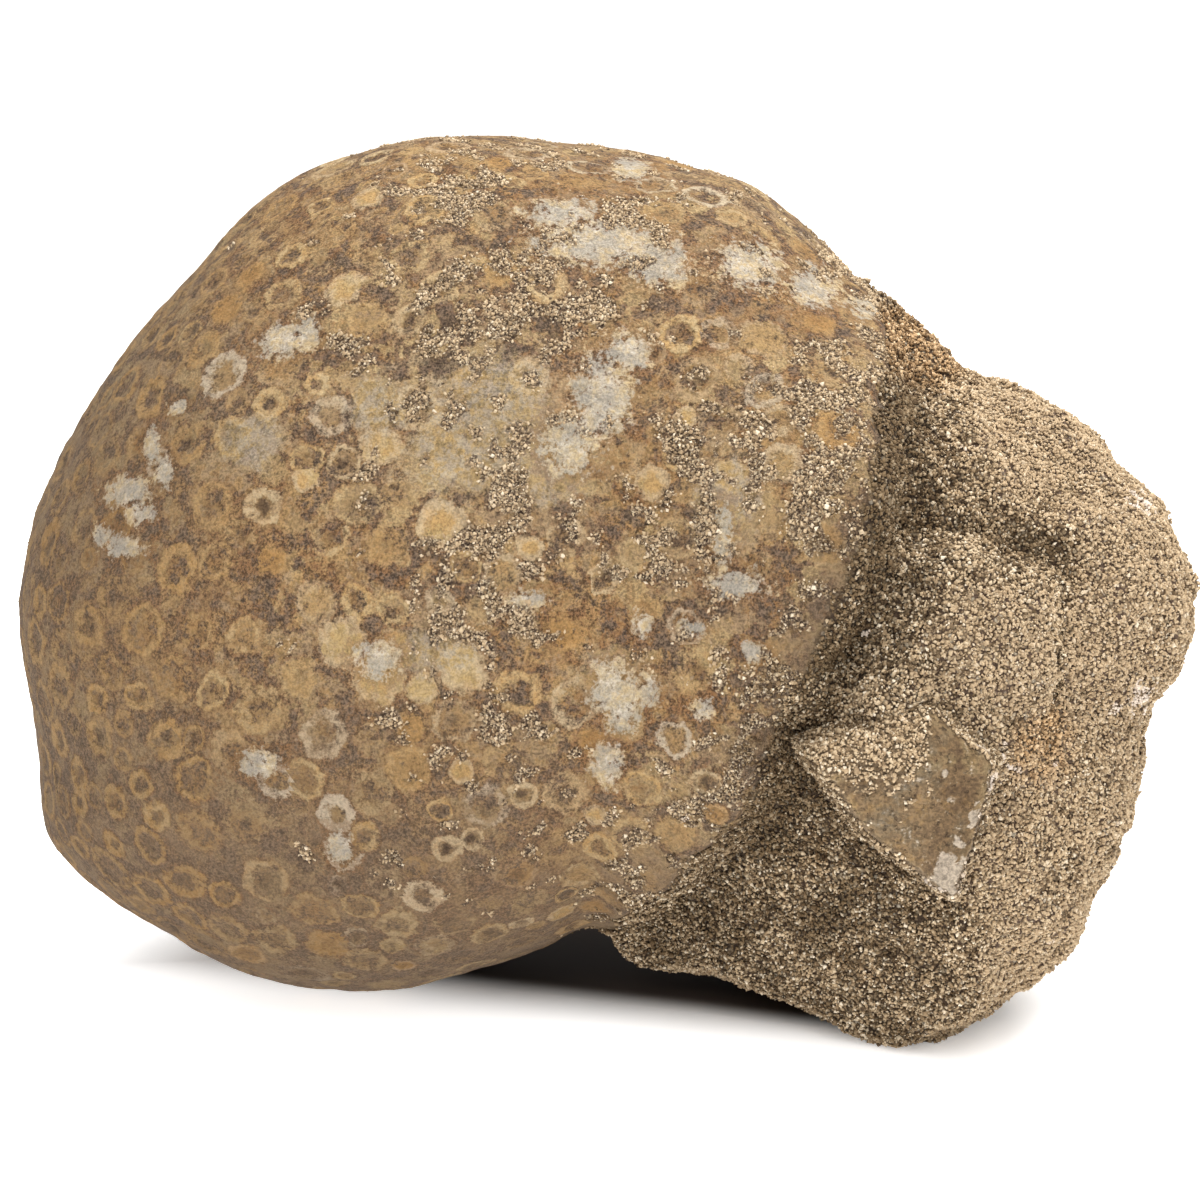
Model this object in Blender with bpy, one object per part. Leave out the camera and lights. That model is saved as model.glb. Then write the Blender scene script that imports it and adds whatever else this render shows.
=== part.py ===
"""A fossil coral colony, still grown to the sandstone that buried it: one loose stone, lying as it rests.

Run it with blender --background --python part.py, or from Blender's text editor.
Metres, +Z up. +X is to the viewer's right, the viewer stands on the -Y side, and the floor is Z = 0.

The stone is worked out in its own frame first, in millimetres, and then leaned back onto the floor:
  across  to the viewer's right
  up      along the stone's own height
  toward  out of its face, to the viewer
A point is found from a direction out of the stone's heart. The direction's angle round the face
picks a place on the outline, and how far it leans out of the face picks how far in from the
outline the point lies, so the plain stone is a pillow. Its forms and relief are added to that.
"""

import itertools
import math

import bmesh
import bpy
import numpy as np

MM = 0.001

# The outline of the face in mm, clockwise from the top of the dome: (across, up).
OUTLINE = (
    (-15.7, 111.0), (-5.5, 109.9), (9.8, 106.8), (19.4, 103.2), (24.7, 98.5), (32.0, 90.8),
    (39.8, 85.6), (44.6, 80.0), (51.2, 76.4), (58.4, 72.7), (63.1, 66.5), (67.3, 62.8),
    (70.3, 55.5), (71.8, 46.3), (71.4, 42.6), (67.0, 36.6), (65.6, 26.2), (62.8, 18.0),
    (58.4, 9.2), (53.2, 4.4), (48.4, -0.2), (41.1, -3.8), (33.8, -3.8), (27.8, -1.0),
    (17.0, 2.6), (4.6, 5.3), (-0.4, 8.4), (-8.0, 5.9), (-16.8, 3.0), (-25.6, 0.8),
    (-35.7, 0.9), (-47.0, 3.7), (-55.2, 8.1), (-63.4, 13.1), (-70.3, 20.4), (-72.2, 30.4),
    (-73.8, 40.5), (-74.6, 50.6), (-73.2, 58.2), (-65.8, 74.6), (-51.4, 93.8), (-41.3, 103.2),
    (-32.4, 107.9),
)
HEART = (-3.0, 50.0)
FACE_DEPTH = 45.0
BACK_DEPTH = 40.0
FACE_FULLNESS = 2.45
BACK_FULLNESS = 2.7
# The sandstone's half of the outline stands nearer the viewer than the dome's. A span is where a change
# starts and where it is whole.
STEM_TURN = 14.0
STEM_TURN_SPAN = (0.0, 40.0)
STEM_TURN_EASES = (60.0, 95.0)
DOME_SWAY = 4.0
DOME_SWAY_SPAN = (50.0, 110.0)
DOME_SWAY_EASES = (20.0, 50.0)
# Behind, the sandstone is thinner than the dome.
BACK_DROP = 6.0
BACK_DROP_SPAN = (-2.0, 14.0)

# Where the coral ends and the sandstone begins, from the notch to the top: (up, across).
CORAL_EDGE = (
    (9.0, -0.4), (13.6, 4.4), (21.0, 11.4), (27.0, 16.6), (35.5, 18.6), (43.6, 22.8),
    (50.6, 26.2), (57.6, 28.8), (64.6, 31.1), (74.3, 32.0), (84.0, 34.0), (92.0, 32.0),
)

# Where the coral's smooth form gives way to the broken one, by how far past the coral's edge.
STEM_SPAN = (-1.0, 4.0)
# The valley along the coral's edge, and the step down from the coral to the sandstone.
VALLEY_DEPTH = 6.0
VALLEY_MIDDLE = 5.5
VALLEY_WIDTH = 4.5
VALLEY_SPAN = (12.0, 30.0)
STEM_DROP = 10.0
STEM_DROP_SPAN = (0.0, 9.0)
# Above the slab the sandstone lies deeper still.
UPPER_DROP = 4.0
UPPER_SPAN = (54.0, 64.0)
UPPER_EASES = (4.0, 12.0)

# The flat broken slab on the sandstone's face: corners (across, up), clockwise.
SLAB = ((31.0, 56.0), (44.0, 57.4), (52.0, 53.0), (52.4, 33.6), (45.0, 27.0), (28.0, 35.0))
# How far it stands out, and the slope round it. A hollow lies over its top, a crease at its right, and
# a shoulder between its foot and the coral. Their lines wander a little: (amount, size, seed).
SLAB_RISE = 3.5
SLAB_BEVEL = (-1.0, 2.0)
HOLLOW_DEPTH = 5.0
HOLLOW_WIDTH = 3.2
HOLLOW_ENDS = ((45.5, 58.8), (54.5, 54.8))
CREASE_DEPTH = 1.0
CREASE_WIDTH = 2.2
CREASE_ENDS = ((54.4, 52.0), (54.8, 40.0))
SHOULDER_RISE = 4.0
SHOULDER_WIDTH = 4.0
SHOULDER_ENDS = ((25.0, 37.0), (30.0, 39.0))
WANDER = ((1.4, 7.0, 9),)

# A plane is an outward normal (across, up, toward) and how far out along it the plane lies.
# The sandstone falls away under the shard.
UNDERSIDE = ((-0.454, -0.496, 0.740), 3.5)
# Corners broken off behind.
STEM_BREAKS = (
    ((0.75, 0.10, -0.65), 54.0), ((0.35, 0.55, -0.76), 64.0), ((0.30, -0.55, -0.78), 14.0),
)
DOME_BREAKS = (((-0.25, 0.35, -0.90), 62.5), ((-0.80, -0.15, -0.58), 54.5))
# How much of what stands out beyond a plane is taken away: 1 would leave a dead flat face.
BREAK_SHARE = 0.85

# Relief, as layers of noise: (height, size, seed). It pushes out from the heart, this far toward the viewer.
HEART_TOWARD = 4.0
WORN_LUMPS = ((1.1, 26.0, 3), (0.35, 9.0, 4))
BROKEN_LUMPS = ((1.9, 15.0, 5), (1.1, 6.0, 6), (0.5, 3.0, 7))
SHARD_LUMPS = ((0.35, 5.0, 8),)

# The shard of fine stone that stands out of the face below the slab: its middle, and its planes.
SHARD_MIDDLE = (35.0, 29.0, 42.0)
SHARD_PLANES = (
    ((0.05, -0.33, 0.94), 8.6), ((0.02, 0.40, 0.92), 10.6), ((-0.60, -0.80, 0.08), 7.5),
    ((-0.82, -0.57, 0.08), 7.8), ((0.94, -0.29, 0.18), 9.8), ((0.60, 0.76, 0.25), 10.2),
    ((-0.32, 0.92, 0.22), 9.6), ((0.0, 0.0, -1.0), 16.0), ((-0.05, -0.99, 0.12), 13.4),
)
SHARD_EDGE_POWER = 26.0

LEAN = math.radians(12.0)
# The middle of its length and depth, as it lies, before it is brought over the origin: (x, y).
MIDDLE = (-0.8, 4.5)

STONE_STEPS = 8
STONE_TRIANGLES = 9000
SHARD_STEPS = 5
SHARD_TRIANGLES = 500
FLOOR_BLOCK = 0.3
SHARP_ANGLE = math.radians(38.0)

STONE_COLOUR = (0.352, 0.242, 0.141, 1.0)
STONE_ROUGHNESS = 0.82


def smooth_step(value, low, high):
    """0 below low, 1 above high, and 3 t^2 - 2 t^3 between."""
    t = np.clip((value - low) / (high - low), 0.0, 1.0)
    return t * t * (3.0 - 2.0 * t)


def hill(value, middle, width):
    """A bell of height 1 round the middle: exp(-((value - middle) / width)^2)."""
    return np.exp(-(((value - middle) / width) ** 2))


def hashed(cell, seed):
    """Three numbers from -1 to 1 for each whole lattice point, always the same for one seed."""
    mixed = cell[:, 0] * 73856093 ^ cell[:, 1] * 19349663 ^ cell[:, 2] * 83492791 ^ seed * 40503
    parts = []
    for turn in (1274126177, 2246822519, 3266489917):
        stirred = (mixed ^ (mixed >> 15)) * turn & 0xFFFFFFFF
        stirred = (stirred ^ (stirred >> 13)) * 668265263 & 0xFFFFFFFF
        parts.append(((stirred >> 8) & 0xFFFF) / 32767.5 - 1.0)
    return np.stack(parts, axis=1)


def noise(points, size, seed):
    """Gradient noise, about -1 to 1: sum over the 8 corners of weight * (offset . gradient)."""
    scaled = points / size + 0.37 * seed
    cell = np.floor(scaled).astype(np.int64)
    inside = scaled - cell
    fade = inside ** 3 * (inside * (inside * 6.0 - 15.0) + 10.0)
    total = np.zeros(len(points))
    for corner in itertools.product((0, 1), repeat=3):
        corner = np.array(corner)
        weight = np.prod(np.where(corner, fade, 1.0 - fade), axis=1)
        total += weight * ((inside - corner) * hashed(cell + corner, seed)).sum(axis=1)
    return total * 1.5


def relief(points, layers):
    """Layers of noise in one: the sum of height * noise of that size."""
    return sum(height * noise(points, size, seed) for height, size, seed in layers)


def outline_radius(angle):
    """Radius of the outline at an angle round the heart, by cubic curves through its points."""
    points = np.array(OUTLINE) - HEART
    angles = np.arctan2(points[:, 1], points[:, 0])
    order = np.argsort(angles)
    angles = angles[order]
    radii = np.hypot(points[:, 0], points[:, 1])[order]
    turn = 2.0 * math.pi
    angles = np.concatenate([angles[-2:] - turn, angles, angles[:2] + turn])
    radii = np.concatenate([radii[-2:], radii, radii[:2]])
    slopes = np.gradient(radii, angles)
    right = np.clip(np.searchsorted(angles, angle, side="right"), 1, len(angles) - 1)
    left = right - 1
    gap = angles[right] - angles[left]
    t = (angle - angles[left]) / gap
    return (
        (2 * t ** 3 - 3 * t ** 2 + 1) * radii[left]
        + (t ** 3 - 2 * t ** 2 + t) * gap * slopes[left]
        + (3 * t ** 2 - 2 * t ** 3) * radii[right]
        + (t ** 3 - t ** 2) * gap * slopes[right]
    )


def beyond_coral(across, up):
    """How far a place lies past the coral's edge, onto the sandstone."""
    ups, edge = np.array(CORAL_EDGE).T
    slope = np.gradient(edge, ups)
    return (across - np.interp(up, ups, edge)) / np.sqrt(1.0 + np.interp(up, ups, slope) ** 2)


def inside_corners(across, up, corners):
    """How far a place lies inside a convex outline given clockwise: the least of its edge distances."""
    least = np.full(len(across), 1e3)
    for (x0, y0), (x1, y1) in zip(corners, corners[1:] + corners[:1]):
        length = math.hypot(x1 - x0, y1 - y0)
        least = np.minimum(least, ((across - x0) * (y1 - y0) - (up - y0) * (x1 - x0)) / length)
    return least


def outline_turn(across, up):
    """How far the outline itself stands toward the viewer."""
    stem = smooth_step(across, *STEM_TURN_SPAN) * (1.0 - 0.5 * smooth_step(up, *STEM_TURN_EASES))
    dome = smooth_step(up, *DOME_SWAY_SPAN) * (1.0 - smooth_step(across, *DOME_SWAY_EASES))
    return STEM_TURN * stem - DOME_SWAY * dome


def along_line(across, up, ends, width):
    """1 on the line between two ends, falling away to its sides as a bell."""
    (x0, y0), (x1, y1) = ends
    length = math.hypot(x1 - x0, y1 - y0)
    along = ((across - x0) * (x1 - x0) + (up - y0) * (y1 - y0)) / length ** 2
    along = np.clip(along, 0.0, 1.0)
    away = np.hypot(across - x0 - along * (x1 - x0), up - y0 - along * (y1 - y0))
    return hill(away, 0.0, width)


def face_depth(across, up, past):
    """How deep the face stands over its outline in the middle: dome, valley, stem, slab and hollow."""
    valley = VALLEY_DEPTH * hill(past, VALLEY_MIDDLE, VALLEY_WIDTH) * smooth_step(up, *VALLEY_SPAN)
    stem = STEM_DROP * smooth_step(past, *STEM_DROP_SPAN)
    upper = UPPER_DROP * smooth_step(up, *UPPER_SPAN) * smooth_step(past, *UPPER_EASES)
    slab = SLAB_RISE * smooth_step(inside_corners(across, up, SLAB), *SLAB_BEVEL)
    flat = np.stack([across, up, np.zeros(len(across))], axis=1)
    astray = across + relief(flat, WANDER)
    hollow = HOLLOW_DEPTH * along_line(astray, up, HOLLOW_ENDS, HOLLOW_WIDTH)
    crease = CREASE_DEPTH * along_line(astray, up, CREASE_ENDS, CREASE_WIDTH)
    shoulder = SHOULDER_RISE * along_line(astray, up, SHOULDER_ENDS, SHOULDER_WIDTH)
    return FACE_DEPTH - valley - stem - upper + slab + shoulder - hollow - crease


def cut_off(points, planes, share):
    """Draws what stands out beyond each plane back toward it, by a share from 0 to 1."""
    for normal, distance in planes:
        normal = np.array(normal)
        out = np.maximum(points @ normal - distance, 0.0)
        points = points - normal * (BREAK_SHARE * share * out)[:, None]
    return points


def stone_points(direction):
    """The stone's surface in its own frame, for unit directions out of its heart."""
    angle = np.arctan2(direction[:, 1], direction[:, 0])
    flat = np.hypot(direction[:, 0], direction[:, 1])
    front = direction[:, 2]
    facing = front > 0
    power = 2.0 / np.where(facing, FACE_FULLNESS, BACK_FULLNESS)
    reach = outline_radius(angle) * flat ** power
    across = HEART[0] + reach * np.cos(angle)
    up = HEART[1] + reach * np.sin(angle)
    past = beyond_coral(across, up)
    stem = smooth_step(past, *STEM_SPAN)
    behind = BACK_DEPTH - BACK_DROP * smooth_step(past, *BACK_DROP_SPAN)
    depth = np.where(facing, face_depth(across, up, past), -behind)
    toward = outline_turn(across, up) + depth * np.abs(front) ** power
    points = np.stack([across, up, toward], axis=1)
    points = cut_off(points, (UNDERSIDE,), stem)

    outward = points - np.array([*HEART, HEART_TOWARD])
    outward /= np.linalg.norm(outward, axis=1, keepdims=True)
    lumps = relief(points, WORN_LUMPS)
    points = cut_off(points, DOME_BREAKS, 1.0 - stem)
    points = cut_off(points, STEM_BREAKS, stem)
    lumps += stem * relief(points, BROKEN_LUMPS)
    return points + outward * lumps[:, None]


def shard_points(direction):
    """The shard's surface: the radius is (sum of (normal . direction / distance)^p)^(-1/p)."""
    total = np.zeros(len(direction))
    for normal, distance in SHARD_PLANES:
        normal = np.array(normal) / np.linalg.norm(normal)
        total += np.maximum(direction @ normal / distance, 0.0) ** SHARD_EDGE_POWER
    points = np.array(SHARD_MIDDLE) + direction * (total ** (-1.0 / SHARD_EDGE_POWER))[:, None]
    return points + direction * relief(points, SHARD_LUMPS)[:, None]


def rest(points):
    """Leans the stone back onto the floor, over the origin, and gives it in metres."""
    across, up, toward = points.T
    turned = [
        across - MIDDLE[0],
        up * math.sin(LEAN) - toward * math.cos(LEAN) - MIDDLE[1],
        up * math.cos(LEAN) + toward * math.sin(LEAN),
    ]
    return np.stack(turned, axis=1) * MM


def linked(name, shape):
    """A new object made of a finished bmesh, which is freed."""
    mesh = bpy.data.meshes.new(name)
    shape.to_mesh(mesh)
    shape.free()
    thing = bpy.data.objects.new(name, mesh)
    bpy.context.scene.collection.objects.link(thing)
    return thing


def shaped_ball(name, steps, surface, triangles):
    """An icosphere moved onto a surface, then thinned to about so many triangles."""
    ball = bmesh.new()
    bmesh.ops.create_icosphere(ball, subdivisions=steps, radius=1.0)
    thing = linked(name, ball)
    mesh = thing.data
    directions = np.empty(len(mesh.vertices) * 3)
    mesh.vertices.foreach_get("co", directions)
    mesh.vertices.foreach_set("co", rest(surface(directions.reshape(-1, 3))).ravel())
    mesh.update()
    thin = thing.modifiers.new("thin", "DECIMATE")
    thin.ratio = triangles / len(mesh.polygons)
    return thing


def floor_block():
    """A block whose top is the floor, to cut the stone's two feet flat."""
    box = bmesh.new()
    bmesh.ops.create_cube(box, size=FLOOR_BLOCK)
    bmesh.ops.translate(box, vec=(0.0, 0.0, -FLOOR_BLOCK / 2.0), verts=box.verts)
    return linked("floor_block", box)


def combine(stone, tool, operation):
    """Adds a Boolean of the stone with a helper that isn't part of the model."""
    tool.hide_render = True
    tool.display_type = "WIRE"
    step = stone.modifiers.new(tool.name, "BOOLEAN")
    step.operation = operation
    step.object = tool


def stone_material():
    material = bpy.data.materials.new("coral_and_sandstone")
    material.use_nodes = True
    surface = material.node_tree.nodes["Principled BSDF"]
    surface.inputs["Base Color"].default_value = STONE_COLOUR
    surface.inputs["Roughness"].default_value = STONE_ROUGHNESS
    surface.inputs["Metallic"].default_value = 0.0
    return material


def main():
    for old in list(bpy.data.objects):
        bpy.data.objects.remove(old)
    stone = shaped_ball("fossil_coral", STONE_STEPS, stone_points, STONE_TRIANGLES)
    shard = shaped_ball("shard", SHARD_STEPS, shard_points, SHARD_TRIANGLES)
    floor = floor_block()
    combine(stone, shard, "UNION")
    combine(stone, floor, "DIFFERENCE")

    graph = bpy.context.evaluated_depsgraph_get()
    finished = bpy.data.meshes.new_from_object(stone.evaluated_get(graph))
    stone.modifiers.clear()
    stone.data = finished
    bpy.data.objects.remove(shard)
    bpy.data.objects.remove(floor)
    finished.materials.clear()
    finished.materials.append(stone_material())
    finished.shade_smooth()
    finished.set_sharp_from_angle(angle=SHARP_ANGLE)


main()
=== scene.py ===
# %% [markdown]
# # A fossil coral, still grown to its sandstone
#
# The real thing is one loose stone about 148 mm long. Two thirds of it is the rounded head of a coral
# colony, worn smooth, so that the little cups its polyps lived in show as rings. The other third is the
# coarse sandstone that buried it, broken rough. The packed part holds that form as a plain solid. Here the
# same form is worked out again with far more points, and then dressed: cups, stains, sand and light.
#
# A stone could also be sculpted by hand or scanned. A formula was chosen because every cup and grain can
# then be placed from a named number, and because the dressed stone keeps exactly to the part.

import itertools
import math

import bpy
import numpy as np
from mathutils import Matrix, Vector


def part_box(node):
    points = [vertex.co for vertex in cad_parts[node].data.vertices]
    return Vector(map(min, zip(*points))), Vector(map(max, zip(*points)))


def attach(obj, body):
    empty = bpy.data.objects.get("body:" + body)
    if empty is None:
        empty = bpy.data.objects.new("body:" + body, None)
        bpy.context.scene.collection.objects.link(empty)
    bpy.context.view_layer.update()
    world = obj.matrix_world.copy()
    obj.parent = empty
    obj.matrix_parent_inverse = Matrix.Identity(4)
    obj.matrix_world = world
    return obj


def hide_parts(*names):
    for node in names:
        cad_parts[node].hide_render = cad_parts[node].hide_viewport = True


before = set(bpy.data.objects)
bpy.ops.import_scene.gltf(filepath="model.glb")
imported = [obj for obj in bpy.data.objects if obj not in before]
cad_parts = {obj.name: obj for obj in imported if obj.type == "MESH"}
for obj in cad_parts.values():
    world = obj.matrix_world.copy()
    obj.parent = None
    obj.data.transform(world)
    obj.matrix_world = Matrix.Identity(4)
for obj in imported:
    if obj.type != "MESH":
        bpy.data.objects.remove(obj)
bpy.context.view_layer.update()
NODE = "fossil_coral"
MM = 0.001
low, high = (np.array(corner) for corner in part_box(NODE))
print("the part spans", np.round((high - low) / MM, 1), "mm")

# %% [markdown]
# ## The camera
#
# The stone is looked at from a little above, from near by, with a long lens. A camera near a small thing
# sees its parts nearest the lens larger, so the distance matters as much as the lens does.

# %% Camera
VIEW_DOWN = math.radians(12.0)
VIEW_DISTANCE = 0.431
VIEW_TARGET = np.array([0.0004, 0.0060, 0.0495])
LENS_MM = 100.0
SENSOR_MM = 36.0
NEAREST_SEEN = 0.01

scene = bpy.context.scene
camera_data = bpy.data.cameras.new("camera")
camera_data.lens = LENS_MM
camera_data.sensor_width = SENSOR_MM
camera_data.clip_start = NEAREST_SEEN
camera = bpy.data.objects.new("camera", camera_data)
scene.collection.objects.link(camera)
back = np.array([0.0, -math.cos(VIEW_DOWN), math.sin(VIEW_DOWN)])
camera.location = VIEW_TARGET + VIEW_DISTANCE * back
camera.rotation_euler = (math.pi / 2.0 - VIEW_DOWN, 0.0, 0.0)
scene.camera = camera
print("camera at", np.round(np.array(camera.location) / MM), "mm")

# %% [markdown]
# ## The stone's own frame
#
# The stone is worked out lying straight, in millimetres: *across* to the right, *up* along its height and
# *toward* out of its face. Leaning it back by the angle at which it rests brings it onto the floor, over the
# origin. Everything on it is placed in this frame, so that nothing slides when the lean changes.

# %% From the stone's frame to the floor
LEAN = math.radians(12.0)
MIDDLE = (-0.8, 4.5)


def rest(points):
    """Leans the stone back onto the floor, over the origin, and gives it in metres."""
    across, up, toward = points.T
    turned = [
        across - MIDDLE[0],
        up * math.sin(LEAN) - toward * math.cos(LEAN) - MIDDLE[1],
        up * math.cos(LEAN) + toward * math.sin(LEAN),
    ]
    return np.stack(turned, axis=1) * MM


def settled(points):
    """The same, with whatever would lie below the floor brought up to it."""
    world = rest(points)
    world[:, 2] = np.maximum(world[:, 2], 0.0)
    return world


print("the stone leans back by", round(math.degrees(LEAN)), "degrees")

# %% [markdown]
# ## Steps, bells and noise
#
# Three small formulas do most of the work. A smooth step eases from 0 to 1, a bell stands round a place or a
# line, and noise gives soft lumps that are the same each time. The noise is written out here, since it has
# to move points, and the part's own form was made with the same one.

# %% Helpers
SEED_SHIFT = 0.37
NOISE_GAIN = 1.5


def smooth_step(value, low, high):
    """0 below low, 1 above high, and 3 t^2 - 2 t^3 between."""
    t = np.clip((value - low) / (high - low), 0.0, 1.0)
    return t * t * (3.0 - 2.0 * t)


def hill(value, middle, width):
    """A bell of height 1 round the middle: exp(-((value - middle) / width)^2)."""
    return np.exp(-(((value - middle) / width) ** 2))


def hashed(cell, seed):
    """Three numbers from -1 to 1 for each whole lattice point, always the same for one seed."""
    mixed = cell[:, 0] * 73856093 ^ cell[:, 1] * 19349663 ^ cell[:, 2] * 83492791 ^ seed * 40503
    parts = []
    for turn in (1274126177, 2246822519, 3266489917):
        stirred = (mixed ^ (mixed >> 15)) * turn & 0xFFFFFFFF
        stirred = (stirred ^ (stirred >> 13)) * 668265263 & 0xFFFFFFFF
        parts.append(((stirred >> 8) & 0xFFFF) / 32767.5 - 1.0)
    return np.stack(parts, axis=1)


def noise(points, size, seed):
    """Gradient noise, about -1 to 1: sum over the 8 corners of weight * (offset . gradient)."""
    scaled = points / size + SEED_SHIFT * seed
    cell = np.floor(scaled).astype(np.int64)
    inside = scaled - cell
    fade = inside ** 3 * (inside * (inside * 6.0 - 15.0) + 10.0)
    total = np.zeros(len(points))
    for corner in itertools.product((0, 1), repeat=3):
        corner = np.array(corner)
        weight = np.prod(np.where(corner, fade, 1.0 - fade), axis=1)
        total += weight * ((inside - corner) * hashed(cell + corner, seed)).sum(axis=1)
    return total * NOISE_GAIN


def relief(points, layers):
    """Layers of noise in one: the sum of height * noise of that size."""
    return sum(height * noise(points, size, seed) for height, size, seed in layers)


trial = noise(np.linspace((0.0, 0.0, 0.0), (90.0, 70.0, 50.0), 2000), 5.0, 1)
print("noise along a line runs from", trial.min().round(2), "to", trial.max().round(2))

# %% [markdown]
# ## The outline
#
# Seen on its face, the stone has one closed outline. It is given by points, and between them its radius,
# counted from a heart inside the stone, follows smooth cubic curves. The outline isn't flat: the sandstone's
# half of it stands nearer the viewer than the dome's.

# %% Outline: (across, up) in millimetres
OUTLINE = (
    (-15.7, 111.0), (-5.5, 109.9), (9.8, 106.8), (19.4, 103.2), (24.7, 98.5), (32.0, 90.8),
    (39.8, 85.6), (44.6, 80.0), (51.2, 76.4), (58.4, 72.7), (63.1, 66.5), (67.3, 62.8),
    (70.3, 55.5), (71.8, 46.3), (71.4, 42.6), (67.0, 36.6), (65.6, 26.2), (62.8, 18.0),
    (58.4, 9.2), (53.2, 4.4), (48.4, -0.2), (41.1, -3.8), (33.8, -3.8), (27.8, -1.0),
    (17.0, 2.6), (4.6, 5.3), (-0.4, 8.4), (-8.0, 5.9), (-16.8, 3.0), (-25.6, 0.8),
    (-35.7, 0.9), (-47.0, 3.7), (-55.2, 8.1), (-63.4, 13.1), (-70.3, 20.4), (-72.2, 30.4),
    (-73.8, 40.5), (-74.6, 50.6), (-73.2, 58.2), (-65.8, 74.6), (-51.4, 93.8), (-41.3, 103.2),
    (-32.4, 107.9),
)
HEART = (-3.0, 50.0)
# A span is where a change starts and where it is whole. High up the sandstone's turn is less by a share.
STEM_TURN = 14.0
STEM_TURN_SPAN = (0.0, 40.0)
STEM_TURN_EASES = (60.0, 95.0)
STEM_TURN_LOSS = 0.5
DOME_SWAY = 4.0
DOME_SWAY_SPAN = (50.0, 110.0)
DOME_SWAY_EASES = (20.0, 50.0)


def outline_radius(angle):
    """Radius of the outline at an angle round the heart, by cubic curves through its points."""
    points = np.array(OUTLINE) - HEART
    angles = np.arctan2(points[:, 1], points[:, 0])
    order = np.argsort(angles)
    angles = angles[order]
    radii = np.hypot(points[:, 0], points[:, 1])[order]
    turn = 2.0 * math.pi
    angles = np.concatenate([angles[-2:] - turn, angles, angles[:2] + turn])
    radii = np.concatenate([radii[-2:], radii, radii[:2]])
    slopes = np.gradient(radii, angles)
    right = np.clip(np.searchsorted(angles, angle, side="right"), 1, len(angles) - 1)
    left = right - 1
    gap = angles[right] - angles[left]
    t = (angle - angles[left]) / gap
    return (
        (2 * t ** 3 - 3 * t ** 2 + 1) * radii[left]
        + (t ** 3 - 2 * t ** 2 + t) * gap * slopes[left]
        + (3 * t ** 2 - 2 * t ** 3) * radii[right]
        + (t ** 3 - t ** 2) * gap * slopes[right]
    )


def outline_turn(across, up):
    """How far the outline itself stands toward the viewer."""
    high_up = STEM_TURN_LOSS * smooth_step(up, *STEM_TURN_EASES)
    stem = smooth_step(across, *STEM_TURN_SPAN) * (1.0 - high_up)
    dome = smooth_step(up, *DOME_SWAY_SPAN) * (1.0 - smooth_step(across, *DOME_SWAY_EASES))
    return STEM_TURN * stem - DOME_SWAY * dome


print(len(OUTLINE), "points make the outline")

# %% [markdown]
# ## The face
#
# The worn dome is one even bulge. Past the coral's edge the sandstone has broken away: a valley runs along
# the edge, and beyond it lies a step down, with a flat slab, a hollow over it, a crease at its right and a
# shoulder between its foot and the coral. Each is a bell or a smooth step added to the dome's depth, so one
# can be moved without touching the others.

# %% Sizes of the face
FACE_DEPTH = 45.0
FACE_FULLNESS = 2.45
CORAL_EDGE = (
    (9.0, -0.4), (13.6, 4.4), (21.0, 11.4), (27.0, 16.6), (35.5, 18.6), (43.6, 22.8),
    (50.6, 26.2), (57.6, 28.8), (64.6, 31.1), (74.3, 32.0), (84.0, 34.0), (92.0, 32.0),
)
VALLEY_DEPTH = 6.0
VALLEY_MIDDLE = 5.5
VALLEY_WIDTH = 4.5
VALLEY_SPAN = (12.0, 30.0)
STEM_DROP = 10.0
STEM_DROP_SPAN = (0.0, 9.0)
# Above the slab the sandstone lies deeper still.
UPPER_DROP = 4.0
UPPER_SPAN = (54.0, 64.0)
UPPER_EASES = (4.0, 12.0)
# The slab's corners (across, up), clockwise, how far it stands out, and the slope round it.
SLAB = ((31.0, 56.0), (44.0, 57.4), (52.0, 53.0), (52.4, 33.6), (45.0, 27.0), (28.0, 35.0))
SLAB_RISE = 3.5
SLAB_BEVEL = (-1.0, 2.0)
HOLLOW_DEPTH = 5.0
HOLLOW_WIDTH = 3.2
HOLLOW_ENDS = ((45.5, 58.8), (54.5, 54.8))
CREASE_DEPTH = 1.0
CREASE_WIDTH = 2.2
CREASE_ENDS = ((54.4, 52.0), (54.8, 40.0))
SHOULDER_RISE = 4.0
SHOULDER_WIDTH = 4.0
SHOULDER_ENDS = ((25.0, 37.0), (30.0, 39.0))
# The last three wander a little: (amount, size, seed).
WANDER = ((1.4, 7.0, 9),)
print("the slab has", len(SLAB), "corners")


# %% The face's depth
def beyond_coral(across, up):
    """How far a place lies past the coral's edge, onto the sandstone."""
    ups, edge = np.array(CORAL_EDGE).T
    slope = np.gradient(edge, ups)
    return (across - np.interp(up, ups, edge)) / np.sqrt(1.0 + np.interp(up, ups, slope) ** 2)


def inside_corners(across, up, corners):
    """How far a place lies inside a convex outline given clockwise: the least of its edge distances."""
    least = np.full(len(across), 1e3)
    for (x0, y0), (x1, y1) in zip(corners, corners[1:] + corners[:1]):
        length = math.hypot(x1 - x0, y1 - y0)
        least = np.minimum(least, ((across - x0) * (y1 - y0) - (up - y0) * (x1 - x0)) / length)
    return least


def along_line(across, up, ends, width):
    """1 on the line between two ends, falling away to its sides as a bell."""
    (x0, y0), (x1, y1) = ends
    length = math.hypot(x1 - x0, y1 - y0)
    along = ((across - x0) * (x1 - x0) + (up - y0) * (y1 - y0)) / length ** 2
    along = np.clip(along, 0.0, 1.0)
    away = np.hypot(across - x0 - along * (x1 - x0), up - y0 - along * (y1 - y0))
    return hill(away, 0.0, width)


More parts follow.
